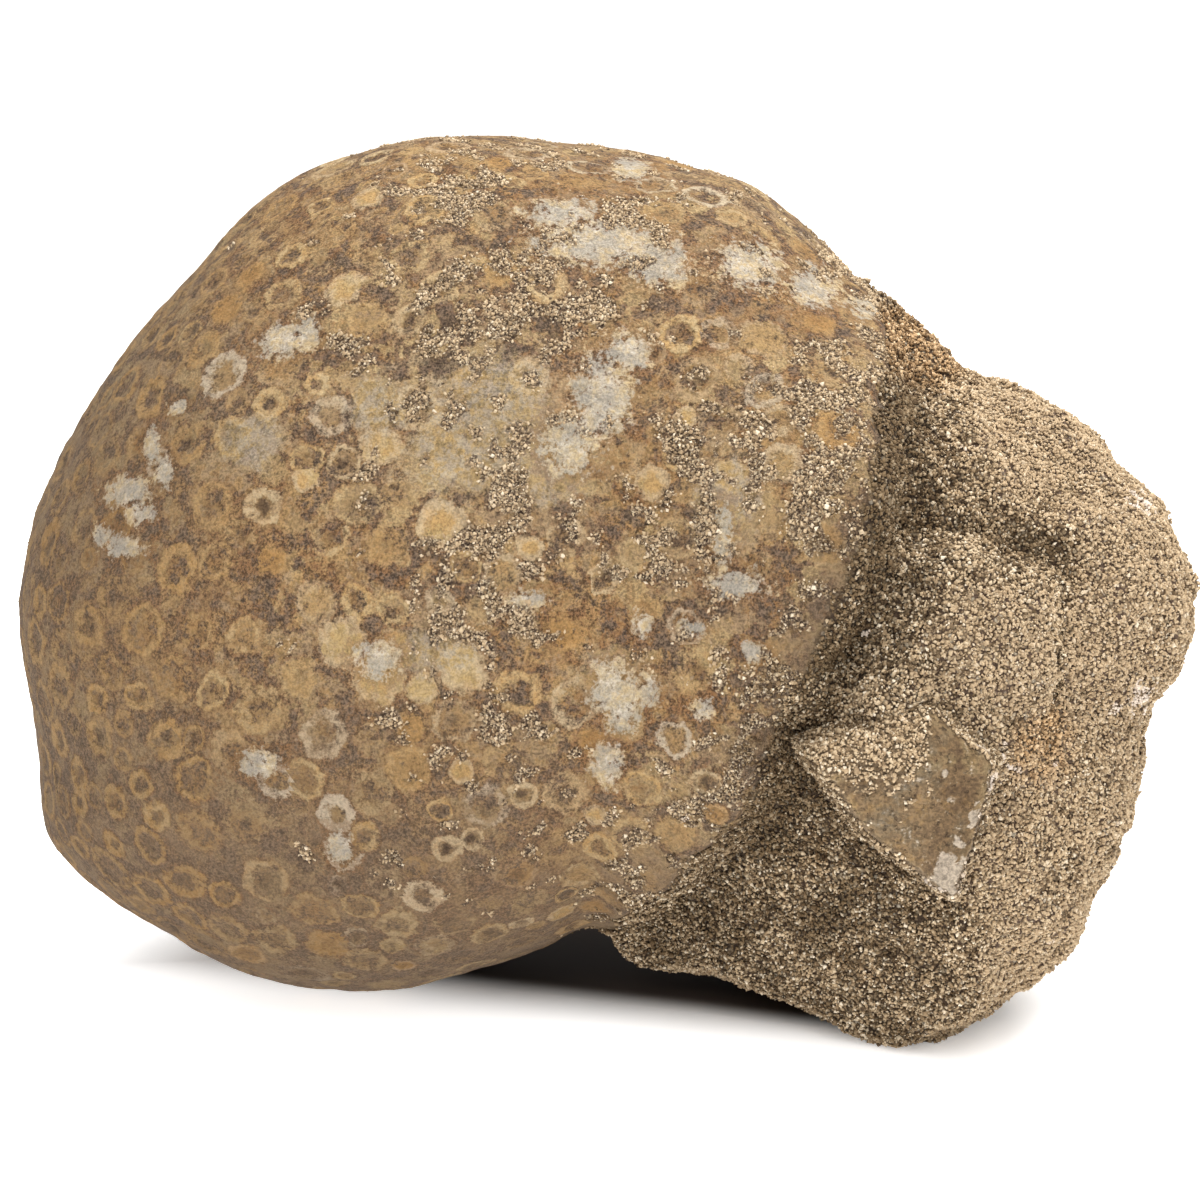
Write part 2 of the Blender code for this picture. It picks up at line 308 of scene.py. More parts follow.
def face_depth(across, up, past):
    """How far the face bulges in front of its outline: dome, valley, stem, slab and hollow."""
    valley = VALLEY_DEPTH * hill(past, VALLEY_MIDDLE, VALLEY_WIDTH) * smooth_step(up, *VALLEY_SPAN)
    stem = STEM_DROP * smooth_step(past, *STEM_DROP_SPAN)
    upper = UPPER_DROP * smooth_step(up, *UPPER_SPAN) * smooth_step(past, *UPPER_EASES)
    slab = SLAB_RISE * smooth_step(inside_corners(across, up, SLAB), *SLAB_BEVEL)
    flat = np.stack([across, up, np.zeros(len(across))], axis=1)
    astray = across + relief(flat, WANDER)
    hollow = HOLLOW_DEPTH * along_line(astray, up, HOLLOW_ENDS, HOLLOW_WIDTH)
    crease = CREASE_DEPTH * along_line(astray, up, CREASE_ENDS, CREASE_WIDTH)
    shoulder = SHOULDER_RISE * along_line(astray, up, SHOULDER_ENDS, SHOULDER_WIDTH)
    return FACE_DEPTH - valley - stem - upper + slab + shoulder - hollow - crease


heart_depth = face_depth(*np.array(HEART)[:, None], np.array([-20.0]))[0]
print("over its heart the face stands", round(heart_depth, 1), "mm out")

# %% [markdown]
# ## Breaks and lumps
#
# Stone breaks along flats. What stands out beyond a plane is drawn most of the way back to it, which leaves
# a flat with soft edges. Last come lumps, as layers of noise: low ones on the worn coral, high ones on the
# break. Sculpting would be freer, but then the dressed stone and the part couldn't be kept the same.

# %% The whole stone
BACK_DEPTH = 40.0
BACK_FULLNESS = 2.7
# Behind, the sandstone is thinner than the dome.
BACK_DROP = 6.0
BACK_DROP_SPAN = (-2.0, 14.0)
# Where the coral's smooth form gives way to the broken one, by how far past the coral's edge.
STEM_SPAN = (-1.0, 4.0)
# Planes: (normal, distance). Their share is how much of what stands out is taken: 1 leaves a dead flat.
UNDERSIDE = ((-0.454, -0.496, 0.740), 3.5)
STEM_BREAKS = (
    ((0.75, 0.10, -0.65), 54.0), ((0.35, 0.55, -0.76), 64.0), ((0.30, -0.55, -0.78), 14.0),
)
DOME_BREAKS = (((-0.25, 0.35, -0.90), 62.5), ((-0.80, -0.15, -0.58), 54.5))
BREAK_SHARE = 0.85
# Layers of lumps: (height, size, seed). They push out from the heart, this far toward the viewer.
HEART_TOWARD = 4.0
WORN_LUMPS = ((1.1, 26.0, 3), (0.35, 9.0, 4))
BROKEN_LUMPS = ((1.9, 15.0, 5), (1.1, 6.0, 6), (0.5, 3.0, 7))


def cut_off(points, planes, share):
    """Draws what stands out beyond each plane back toward it, by a share from 0 to 1."""
    for normal, distance in planes:
        normal = np.array(normal)
        out = np.maximum(points @ normal - distance, 0.0)
        points = points - normal * (BREAK_SHARE * share * out)[:, None]
    return points


def stone_points(direction):
    """The stone's surface in its own frame, for unit directions out of its heart.

    A ball with the outline's radius: its depth grows with |direction's third part| ^ power, and its reach
    with the flat part ^ power, where power = 2 / fullness, and a fullness of 2 gives an ellipsoid.
    """
    angle = np.arctan2(direction[:, 1], direction[:, 0])
    flat = np.hypot(direction[:, 0], direction[:, 1])
    front = direction[:, 2]
    facing = front > 0
    power = 2.0 / np.where(facing, FACE_FULLNESS, BACK_FULLNESS)
    reach = outline_radius(angle) * flat ** power
    across = HEART[0] + reach * np.cos(angle)
    up = HEART[1] + reach * np.sin(angle)
    past = beyond_coral(across, up)
    stem = smooth_step(past, *STEM_SPAN)
    behind = BACK_DEPTH - BACK_DROP * smooth_step(past, *BACK_DROP_SPAN)
    depth = np.where(facing, face_depth(across, up, past), -behind)
    toward = outline_turn(across, up) + depth * np.abs(front) ** power
    points = np.stack([across, up, toward], axis=1)
    points = cut_off(points, (UNDERSIDE,), stem)

    outward = points - np.array([*HEART, HEART_TOWARD])
    outward /= np.linalg.norm(outward, axis=1, keepdims=True)
    lumps = relief(points, WORN_LUMPS)
    points = cut_off(points, DOME_BREAKS, 1.0 - stem)
    points = cut_off(points, STEM_BREAKS, stem)
    lumps += stem * relief(points, BROKEN_LUMPS)
    return points + outward * lumps[:, None]


print(1 + len(STEM_BREAKS) + len(DOME_BREAKS), "planes cut the stone")

# %% [markdown]
# ## A ball of six grids
#
# A stone has no seam and no pole, so its surface is laid out on a cube's six sides, each an even grid of
# two parameters, blown up to a ball. The corners that neighbouring sides share are merged, which closes the
# surface. A UV sphere would crowd its points at two poles. More of the points are drawn to the face, where
# the cups are, and the side that looks forward gets the largest place on the bake's UV map.

# %% The grid
# Each side as (axis, sign), with its place and its size on the UV map, counted in cells.
CHARTS = {(2, 1): (0, 0, 2), (0, 1): (2, 0, 1), (0, -1): (2, 1, 1),
          (1, 1): (0, 2, 1), (1, -1): (1, 2, 1), (2, -1): (2, 2, 1)}
CHART_CELLS = 3
CHART_MARGIN = 0.004
# The least flat part that a direction is divided by, so that the two poles divide by no zero.
LEAST_FLAT = 1e-9


def ball_grid(steps, draw_forward):
    """Unit directions, four corners a face, and UV places, for a cube's sides blown up to a ball.

    A side's two parameters run from -1 to 1, and the direction is (1, tan(45 deg u), tan(45 deg v)),
    normalised. Each direction is then drawn forward: its angle from the forward axis is lessened by
    draw_forward times the angle's sine.
    """
    line = np.arange(-steps, steps + 1, 2)
    u, v = (part.ravel() for part in np.meshgrid(line, line, indexing="ij"))
    row = np.arange(steps + 1)
    corner = (row[:-1, None] * (steps + 1) + row[None, :-1]).ravel()
    quad = np.stack([corner, corner + steps + 1, corner + steps + 2, corner + 1], axis=1)
    places, quads, maps = [], [], []
    for side, ((axis, sign), (left, bottom, cells)) in enumerate(CHARTS.items()):
        place = np.empty((len(u), 3), dtype=np.int64)
        place[:, axis] = sign * steps
        place[:, (axis + 1) % 3] = u
        place[:, (axis + 2) % 3] = sign * v
        places.append(place)
        quads.append(quad + side * len(u))
        share = (np.stack([u, v], axis=1) / steps + 1.0) / 2.0
        span = cells - 2.0 * CHART_MARGIN * CHART_CELLS
        start = np.array([left, bottom]) + CHART_MARGIN * CHART_CELLS
        maps.append((start + share * span) / CHART_CELLS)
    whole, index = np.unique(np.concatenate(places), axis=0, return_inverse=True)
    corners = np.concatenate(quads)
    direction = np.tan(math.pi / 4.0 * whole / steps)
    direction /= np.linalg.norm(direction, axis=1, keepdims=True)
    polar = np.arccos(np.clip(direction[:, 2], -1.0, 1.0))
    flat = np.maximum(np.hypot(direction[:, 0], direction[:, 1]), LEAST_FLAT)
    drawn = polar - draw_forward * np.sin(polar)
    direction[:, :2] *= (np.sin(drawn) / flat)[:, None]
    direction[:, 2] = np.cos(drawn)
    return direction, index.reshape(-1)[corners], np.concatenate(maps)[corners]


print("a ball of 2 steps a side has", len(ball_grid(2, 0.0)[0]), "points")

# %% Meshes, and what they carry
def piece(name, points, faces, places=None):
    """A mesh object from whole arrays: points in metres, faces of equal sides, and UV places."""
    mesh = bpy.data.meshes.new(name)
    mesh.vertices.add(len(points))
    mesh.vertices.foreach_set("co", points.astype(np.float32).ravel())
    mesh.loops.add(faces.size)
    mesh.loops.foreach_set("vertex_index", faces.astype(np.int32).ravel())
    mesh.polygons.add(len(faces))
    mesh.polygons.foreach_set("loop_start", np.arange(0, faces.size, faces.shape[1], dtype=np.int32))
    mesh.update(calc_edges=True)
    if places is not None:
        layer = mesh.uv_layers.new(name="OFBake")
        layer.uv.foreach_set("vector", places.astype(np.float32).ravel())
    thing = bpy.data.objects.new(name, mesh)
    scene.collection.objects.link(thing)
    return thing


def keep(thing, name, values, domain):
    """Stores one number or three numbers a point, corner or face, for the materials to read."""
    kind, field = ("FLOAT", "value") if values.ndim == 1 else ("FLOAT_VECTOR", "vector")
    layer = thing.data.attributes.new(name, kind, domain)
    layer.data.foreach_set(field, values.astype(np.float32).ravel())


def surface_normals(points, faces):
    """Each point's outward normal: the sum of its faces' normals, made one long."""
    first = points[faces[:, 2]] - points[faces[:, 0]]
    second = points[faces[:, 3]] - points[faces[:, 1]]
    normal = np.cross(first, second)
    total = np.stack([
        np.bincount(faces.ravel(), np.repeat(normal[:, k], faces.shape[1]), len(points))
        for k in range(3)
    ], axis=1)
    return total / np.linalg.norm(total, axis=1, keepdims=True)


flat_square = np.array([(0.0, 0.0, 0.0), (1.0, 0.0, 0.0), (1.0, 1.0, 0.0), (0.0, 1.0, 0.0)])
print("a flat square looks", surface_normals(flat_square, np.array([(0, 1, 2, 3)]))[0])

# %% [markdown]
# ## The coral head and the sandstone as one surface
#
# Coral and sandstone have grown to each other, so they stay one closed piece. Its base form is the part's
# own, with many more points. From here on each point also knows how far it lies on the sandstone, because
# cups belong to one side of that edge and grains to the other.

# %% The stone's points
STONE_STEPS = 127
DRAW_FORWARD = 0.22
# How the edge between coral and sandstone wanders, everywhere and behind: (amount, size, seed).
RAGGED = ((1.3, 5.0, 21), (0.7, 1.8, 22))
BACK_WANDER = ((5.0, 16.0, 23),)
FRONT_SPAN = (-0.15, 0.25)
SANDY_SPAN = (-0.6, 1.2)

direction, stone_faces, stone_places = ball_grid(STONE_STEPS, DRAW_FORWARD)
stone = stone_points(direction)
normal = surface_normals(stone, stone_faces)
past = beyond_coral(stone[:, 0], stone[:, 1])
ragged = past + relief(stone, RAGGED)
front = smooth_step(normal[:, 2], *FRONT_SPAN)
sandy = smooth_step(ragged + (1.0 - front) * relief(stone, BACK_WANDER), *SANDY_SPAN)
coral = 1.0 - sandy
print(len(stone), "points,", 2 * len(stone_faces), "triangles,", f"{sandy.mean():.0%} on sandstone")

# %% [markdown]
# ## The cups
#
# Each branch of the colony ends in a round cup of about 4 mm, cut across by wear: a pale wall, a brown or
# cream filling, sometimes a dark middle. The clearest ones are listed. The rest are thrown at random
# onto the coral, each kept only where it touches no other, which is how branches that grew side by side
# share a surface. Drawing them with a cell texture would be quicker, but then no cup could be chosen.

# %% Cups listed one by one: (across, up, radius) in millimetres
CLEAR_CUPS = (
    (-37.8, 92.4, 2.1), (-39.3, 74.1, 2.0), (-27.3, 74.3, 2.0), (-22.1, 101.7, 1.7),
    (-34.7, 99.1, 1.8), (-44.1, 69.7, 2.3), (-34.8, 67.4, 2.0), (-17.8, 67.7, 2.3),
    (-46.1, 39.8, 2.1), (-55.2, 38.9, 1.8), (-60.9, 38.5, 1.8), (-63.8, 29.5, 2.2),
    (-55.2, 28.9, 1.8), (-64.0, 25.6, 1.8), (-58.7, 26.4, 2.1), (-53.5, 24.8, 1.9),
    (-59.5, 21.2, 1.8), (-64.5, 19.9, 1.7), (-34.7, 29.4, 2.3), (-28.1, 22.6, 2.0),
    (-29.0, 14.2, 2.0), (-0.4, 21.4, 2.0), (-11.1, 101.4, 1.6), (4.3, 28.8, 2.1),
    (-15.4, 54.2, 1.8), (-29.0, 50.7, 1.8), (-50.2, 83.2, 1.7),
)
WHITE_CUPS = (
    (-45.2, 77.7, 2.9), (8.5, 34.1, 2.1), (-31.5, 25.4, 2.1), (-30.3, 20.8, 2.3),
    (-38.5, 29.5, 2.3), (-53.4, 67.0, 1.7),
)
FILLED_CUPS = (
    (-30.8, 87.6, 2.4), (-26.4, 68.5, 2.2), (-18.5, 59.6, 2.6), (-8.3, 56.9, 1.6),
    (-30.6, 45.4, 2.9), (-25.7, 41.3, 2.9), (-16.7, 42.8, 2.6), (-28.6, 99.7, 2.2),
    (-58.7, 63.8, 2.1), (-35.1, 64.6, 1.6), (14.4, 64.7, 2.1), (14.3, 60.6, 2.0),
    (-16.7, 30.7, 1.4), (-5.2, 12.8, 1.8), (5.7, 64.4, 2.1), (9.3, 71.9, 1.4),
    (-1.0, 25.5, 1.4), (13.9, 57.1, 1.7), (-21.1, 40.3, 1.8),
)
HOLLOW_CUPS = (
    (-40.2, 61.4, 2.1), (11.6, 29.6, 1.8), (-15.3, 22.7, 1.4), (-30.6, 67.0, 2.0),
    (-18.4, 21.6, 1.7), (-9.2, 27.8, 1.6), (0.3, 53.3, 1.7),
)
AMBER_CUPS = (
    (-43.0, 90.0, 2.0), (-45.7, 86.2, 2.3), (-4.1, 47.0, 2.1), (-1.4, 34.0, 1.8),
    (-24.2, 45.3, 1.7), (-39.1, 55.2, 2.0), (-12.7, 104.4, 1.7), (25.7, 83.6, 1.9),
)
# How each kind looks, 0 to 1: wall, filling, dark middle, amber, white.
CUP_KINDS = (
    (CLEAR_CUPS, (0.85, 0.35, 0.25, 0.20, 0.00)),
    (WHITE_CUPS, (0.85, 0.55, 0.10, 0.10, 0.60)),
    (FILLED_CUPS, (0.70, 1.00, 0.05, 0.15, 0.25)),
    (HOLLOW_CUPS, (0.80, 0.35, 1.00, 0.10, 0.20)),
    (AMBER_CUPS, (0.60, 0.70, 0.10, 1.00, 0.00)),
)
print([len(cups) for cups, _ in CUP_KINDS], "cups of each kind")


# %% Throwing the rest
CUP_SEED = 11
CUP_TRIES = 9000
CUP_GAP = 0.15
CUP_RADII = (2.5, 2.1, 1.8, 1.5)
CORAL_INSIDE = -2.0
FILLED_SHARE = 0.50
FILLED_LOOK = (0.3, 0.8)
# Toward the left the cups are dull: no white, amber at least so much, and walls that are all alike.
DULL_SPAN = (35.0, 50.0)
DULL_AMBER = 0.75
# Added to the squared distance of points that look away, so that none of them is ever the nearest.
BEHIND = 400.0


def at(across, up):
    """The number of the point on the face nearest a place (across, up)."""
    away = (stone[:, 0] - across) ** 2 + (stone[:, 1] - up) ** 2
    return int(np.argmin(away + BEHIND * (stone[:, 2] < 0.0) + BEHIND * (normal[:, 2] < 0.0)))


def chance_look(rng, dull):
    """How a cup thrown at random looks, from plain to dull: wall, filling, dark middle, amber, white."""
    amber = max(rng.random() ** 3, DULL_AMBER * dull)
    wall = (0.20 + 0.75 * rng.random() ** 1.4) * (1.0 - dull) + (0.50 + 0.40 * rng.random()) * dull
    filled = rng.random() < FILLED_SHARE
    filling = (rng.uniform(*FILLED_LOOK) if filled else 0.3 * rng.random()) * (1.0 - 0.5 * dull)
    white = 0.7 * rng.random() ** 3 * (1.0 - dull)
    return wall, filling, 0.8 * rng.random() ** 3, amber, white


placed = [(at(across, up), radius, look) for cups, look in CUP_KINDS for across, up, radius in cups]
middles = [number for number, _, _ in placed]
radii = [radius for _, radius, _ in placed]
looks = [look for _, _, look in placed]
rng = np.random.default_rng(CUP_SEED)
tries = rng.choice(np.flatnonzero(ragged < CORAL_INSIDE), CUP_TRIES, replace=False)
for turn, number in enumerate(tries):
    radius = CUP_RADII[turn * len(CUP_RADII) // CUP_TRIES] * rng.uniform(0.9, 1.1)
    away = np.linalg.norm(stone[middles] - stone[number], axis=1)
    if (away < np.array(radii) + radius + CUP_GAP).any():
        continue
    looks.append(chance_look(rng, smooth_step(-stone[number, 0], *DULL_SPAN)))
    middles.append(number)
    radii.append(radius)
middles, radii, looks = np.array(middles), np.array(radii), np.array(looks)
print(len(middles), "cups,", len(placed), "of them placed by hand")

# %% The amber of the leftmost cups
LEFTMOST_SPAN = (48.0, 58.0)
LEFTMOST_AMBER = 0.7

leftmost = smooth_step(-stone[middles, 0], *LEFTMOST_SPAN) * (1.0 - looks[:, 4])
looks[:, 3] = np.maximum(looks[:, 3], LEFTMOST_AMBER * leftmost)
print((leftmost > 0.5).sum(), "cups are amber at the far left")


# %% Each place's own cup
CUP_BATCH = 8192


def nearest_cup(points):
    """For each point, the cup whose middle is nearest, counted in the cup's radii."""
    best = np.empty(len(points), dtype=np.int64)
    for start in range(0, len(points), CUP_BATCH):
        part = points[start:start + CUP_BATCH]
        away = (part ** 2).sum(axis=1)[:, None] + (stone_middles ** 2).sum(axis=1)[None]
        away -= 2.0 * part @ stone_middles.T
        best[start:start + CUP_BATCH] = np.argmin(away / radii ** 2, axis=1)
    return best


def on_cup(points, cup):
    """Places in a cup's own plane, in radii, with the cup stretched along one way: (x, y)."""
    away = points - stone_middles[cup]
    return np.stack([
        (away * cup_right[cup]).sum(axis=1) / radii[cup] / cup_stretch[cup],
        (away * cup_above[cup]).sum(axis=1) / radii[cup],
    ], axis=1)


stone_middles = stone[middles]
turned = rng.uniform(0.0, 2.0 * math.pi, len(middles))[:, None]
side = np.cross([0.0, 1.0, 0.05], normal[middles])
side /= np.linalg.norm(side, axis=1, keepdims=True)
rise = np.cross(normal[middles], side)
cup_right = side * np.cos(turned) + rise * np.sin(turned)
cup_above = np.cross(normal[middles], cup_right)
cup_stretch = rng.uniform(0.95, 1.2, len(middles))
cup_seed = rng.random(len(middles))
cup_thick = rng.random(len(middles))
cup = nearest_cup(stone)
from_middle = np.linalg.norm(on_cup(stone, cup), axis=1)
print(f"{(from_middle < 1.0).mean():.0%} of the points lie in a cup")

# %% [markdown]
# ## Walls, ripples and pits
#
# Wear has left the cups' walls a little proud and their open middles a little sunk. Between them the coral
# ripples softly, while the sandstone crumbles and has small pits. All of it is height along the normal, in
# millimetres, and far too low to show in the part's plain solid.

# %% Raising the surface
WALL_HEIGHT = 0.10
WALL_PLACE = 0.85
WALL_WIDTH = 0.2
CUP_SINK = 0.20
CUP_SINK_SPAN = (0.45, 0.8)
RIPPLES = ((0.14, 3.2, 31), (0.07, 1.6, 32))
CRUMBLES = ((0.42, 2.1, 34), (0.252, 1.1, 35))
PITS = ((1.0, 2.6, 33),)
PIT_SPAN = (0.25, 0.7)
PIT_DEPTH = 0.75

wall_here = hill(from_middle, WALL_PLACE, WALL_WIDTH) * looks[cup, 0]
inside_here = (1.0 - smooth_step(from_middle, *CUP_SINK_SPAN)) * (1.0 - 0.8 * looks[cup, 1])
raised = coral * (WALL_HEIGHT * wall_here - CUP_SINK * inside_here + relief(stone, RIPPLES))
raised += sandy * (relief(stone, CRUMBLES) - PIT_DEPTH * smooth_step(relief(stone, PITS), *PIT_SPAN))
stone = stone + normal * raised[:, None]
world = settled(stone)
coral_head = piece("coral_head", world, stone_faces, stone_places)
print("raised by", raised.min().round(2), "to", raised.max().round(2), "mm")

# %% What the material needs to know of each cup
corner_cup = np.repeat(nearest_cup(stone[stone_faces].mean(axis=1)), 4)
corner_place = on_cup(stone[stone_faces.ravel()], corner_cup)
keep(coral_head, "cup_place", np.column_stack([corner_place, cup_seed[corner_cup]]), "CORNER")
keep(coral_head, "cup_look", looks[corner_cup, :3], "CORNER")
keep(coral_head, "cup_tint", np.column_stack([looks[corner_cup, 3:], cup_thick[corner_cup]]), "CORNER")
print(len(corner_cup), "face corners carry their cup's place and look")

# %% [markdown]
# ## Stains, chalky patches and sandy patches
#
# Iron has stained the coral ochre, calcite shows as blue-grey and cream patches, and sand grains still
# stick in the hollows. Where each lies is a handful of soft blobs. The material breaks their edges up with
# noise, so that a blob decides only where a patch is, and not its outline.

# %% Where the patches lie: (across, up, half width, half height) in millimetres
GREY_PATCHES = (
    (-0.3, 93.4, 9.5, 3.8), (6.7, 90.6, 4.7, 3.5), (17.6, 90.7, 5.3, 3.8), (25.3, 88.2, 4.2, 3.6),
    (-0.3, 74.3, 4.4, 6.9), (-3.9, 68.9, 4.0, 4.6), (3.0, 79.8, 3.5, 2.9), (3.4, 104.3, 3.1, 2.7),
    (4.4, 47.7, 1.6, 2.1), (10.2, 47.2, 2.0, 1.4), (17.2, 44.6, 1.6, 1.6), (5.4, 40.4, 1.6, 2.5),
    (11.4, 37.9, 1.6, 1.8), (15.2, 52.3, 5.1, 2.0), (1.0, 40.5, 3.0, 4.1), (0.4, 31.7, 2.3, 3.4),
    (-5.0, 97.3, 5.9, 2.4), (32.0, 86.2, 3.0, 2.2), (-57.2, 63.7, 3.8, 2.4), (-54.4, 69.6, 1.4, 2.9),
    (-38.4, 81.4, 3.5, 2.9), (-35.3, 82.6, 1.9, 3.1), (-57.7, 56.9, 3.5, 1.9), (-51.2, 73.9, 1.7, 1.2),
    (-40.4, 31.4, 3.0, 2.1), (-31.0, 21.4, 2.1, 2.6), (-26.3, 43.7, 3.4, 2.8), (13.7, 57.5, 1.6, 4.5),
    (-8.8, 50.5, 3.4, 1.6), (-55.5, 61.0, 2.6, 1.8), (-60.5, 58.5, 1.5, 1.8), (-52.5, 66.0, 1.6, 2.6),
    (2.0, 38.5, 3.0, 4.5),
)
LEMON_PATCHES = (
    (-13.0, 73.8, 6.9, 5.8), (-16.6, 67.9, 5.8, 4.6), (-9.5, 70.2, 4.6, 5.8), (-4.9, 65.6, 3.4, 4.6),
    (-20.1, 44.6, 4.6, 2.3), (14.3, 62.1, 3.4, 4.5), (0.5, 41.5, 2.7, 3.4), (-26.2, 73.8, 3.5, 3.5),
    (-41.6, 69.3, 3.5, 2.9),
)
OCHRE_PATCHES = (
    (-42.6, 89.3, 6.0, 4.8), (-36.9, 97.0, 7.3, 4.8), (-18.8, 103.6, 10.9, 3.0),
    (-0.6, 101.7, 9.7, 3.0), (-41.3, 59.8, 7.0, 7.0), (-47.2, 48.2, 8.1, 7.0), (-53.5, 45.9, 8.2, 5.9),
    (-31.7, 55.1, 5.7, 4.6), (-4.1, 47.0, 6.9, 5.7), (4.5, 64.6, 5.7, 4.6), (18.0, 65.2, 4.5, 6.8),
    (23.4, 86.0, 5.9, 4.1), (13.7, 80.9, 5.8, 3.5), (-1.4, 34.0, 3.4, 2.9), (-15.8, 15.4, 9.4, 4.7),
    (-31.8, 28.6, 5.8, 4.6), (-43.6, 36.4, 5.8, 4.6), (9.1, 39.1, 5.7, 3.4), (-21.3, 32.3, 6.9, 6.9),
    (-5.1, 22.7, 7.0, 5.8), (22.9, 71.1, 4.0, 5.7), (-60.2, 46.0, 4.7, 7.1),
)
SAND_PATCHES = (
    (-10.3, 87.1, 10.5, 5.9), (2.5, 96.7, 3.6, 3.3), (25.2, 73.5, 4.6, 6.3), (-10.9, 61.9, 3.9, 6.3),
    (-10.8, 48.2, 4.1, 3.9), (-11.9, 37.6, 3.4, 2.5), (-36.2, 84.9, 4.3, 2.8), (-29.8, 81.2, 3.5, 2.8),
    (-46.7, 73.6, 2.4, 1.7), (-24.3, 73.4, 2.3, 1.9), (-41.3, 98.2, 8.6, 4.9), (-45.7, 92.4, 3.7, 4.9),
    (11.1, 68.8, 3.4, 5.7), (-9.9, 35.2, 2.7, 3.4), (-37.1, 46.1, 3.5, 3.9), (-29.3, 64.5, 2.3, 3.5),
    (-41.1, 46.0, 1.6, 3.5), (-20.9, 101.6, 7.2, 2.4), (18.0, 67.6, 3.4, 5.7), (-19.8, 49.6, 3.0, 3.4),
    (2.1, 57.3, 4.6, 3.0), (25.9, 65.3, 3.4, 5.7), (11.3, 59.8, 2.3, 4.6), (-15.9, 98.6, 4.8, 1.9),
    (-40.3, 27.3, 1.4, 1.2), (-35.8, 20.0, 1.9, 1.6), (-57.6, 54.1, 1.4, 1.4), (-13.2, 83.5, 7.0, 4.7),
)
print(len(GREY_PATCHES), "grey,", len(LEMON_PATCHES), "lemon,", len(OCHRE_PATCHES), "ochre,",
      len(SAND_PATCHES), "sandy patches")


# %% Patches as numbers on the points
def blobs(points, patches):
    """0 to 1: the highest of the patches' bells exp(-0.7 (x/w)^2 - 0.7 (y/h)^2) there, on the face only."""
    total = np.zeros(len(points))
    for across, up, wide, tall in patches:
        far = ((points[:, 0] - across) / wide) ** 2 + ((points[:, 1] - up) / tall) ** 2
        total = np.maximum(total, np.exp(-0.7 * far))
    return total * front


def elsewhere(points, size, seed, least):
    """The same kind of blobs from noise, for the sides and the back."""
    return (1.0 - front) * smooth_step(noise(points, size, seed), least, 0.8)


# Each with the size, seed and least height of the noise that goes on with it behind.
for label, patches, *behind in (
    ("grey", GREY_PATCHES, 9.0, 41, 0.3),
    ("lemon", LEMON_PATCHES, 11.0, 42, 0.4),
    ("ochre", OCHRE_PATCHES, 13.0, 43, 0.0),
):
    patch = coral * (blobs(stone, patches) + elsewhere(stone, *behind))
    keep(coral_head, label, patch, "POINT")
    print(f"{label} covers {(patch > 0.5).mean():.0%}")

# %% [markdown]
# ## Crust and painted shade
#
# Sand grains still stick all over the coral. They gather in the patches and along the coral's edge, keep off
# the cups' walls and fillings, and are rare at the left and at the foot, where hands have been. Painted
# shade darkens just those two places, and the coral's margin beside the valley.

# %% Crust
SAND_BEHIND = (8.0, 44, 0.2)
EDGE_SAND = 0.6
EDGE_SAND_MIDDLE = -2.0
EDGE_SAND_WIDTH = 4.5
GRAININESS = ((1.0, 3.4, 45), (0.6, 1.7, 46), (0.4, 0.9, 47))
# How strongly grains gather, how strongly cups keep them off, and how bare the ends are.
CRUST_GATHERS = 2.2
CUPS_CLEAR = 0.8
BARE_ENDS = 2.5
BARE_LEFT = (20.0, 45.0)
BARE_FOOT = (-16.0, -6.0)
CRUST_SPAN = (1.2, 1.7)

gathered = blobs(stone, SAND_PATCHES) + elsewhere(stone, *SAND_BEHIND)
gathered = np.maximum(gathered, EDGE_SAND * hill(past, EDGE_SAND_MIDDLE, EDGE_SAND_WIDTH))
grainy = relief(stone, GRAININESS)
grainy = grainy / grainy.std() + CRUST_GATHERS * gathered
grainy -= CUPS_CLEAR * wall_here + CUPS_CLEAR * looks[cup, 1] * (from_middle < 0.8)
bare_left = smooth_step(-stone[:, 0], *BARE_LEFT) * front
grainy -= BARE_ENDS * np.maximum(bare_left, smooth_step(-stone[:, 1], *BARE_FOOT))
crust = coral * smooth_step(grainy, *CRUST_SPAN)
keep(coral_head, "crust", crust, "POINT")
keep(coral_head, "sandy", sandy, "POINT")
print(f"crust covers {(crust > 0.5).mean():.0%}")

# %% Painted shade on the coral
# Low down counts from a line that slopes to the right by this much.
FOOT_SLOPE = 0.25
FOOT_SPAN = (-44.0, -4.0)
LEFT_SHADE = 0.65
LEFT_SPAN = (30.0, 68.0)
MARGIN_SHADE = 0.75
MARGIN_WIDTH = 3.6
MARGIN_MIDDLE = 50.0
MARGIN_SPAN = 16.0

# Painted shade: darker low down, toward the left and on the coral's margin beside the valley.
low_down = smooth_step(-stone[:, 1] - FOOT_SLOPE * stone[:, 0], *FOOT_SPAN)
leftward = smooth_step(-stone[:, 0], *LEFT_SPAN)
margin = hill(past, 0.0, MARGIN_WIDTH) * front * hill(stone[:, 1], MARGIN_MIDDLE, MARGIN_SPAN)
painted_shade = np.clip(np.maximum(low_down, LEFT_SHADE * leftward) + MARGIN_SHADE * margin, 0.0, 1.0)
keep(coral_head, "painted_shade", painted_shade, "POINT")
print(f"soil darkens {(painted_shade > 0.5).mean():.0%}")

# %% [markdown]
# ## Writing shaders as sums
#
# A shader is arithmetic on numbers, colours and places. Written as Python expressions it can be read like
# any other formula, so one small class wraps a socket, and each operator on it adds the node that does that
# work. Building the same tree by hand in the node editor gives the same result, only harder to read.


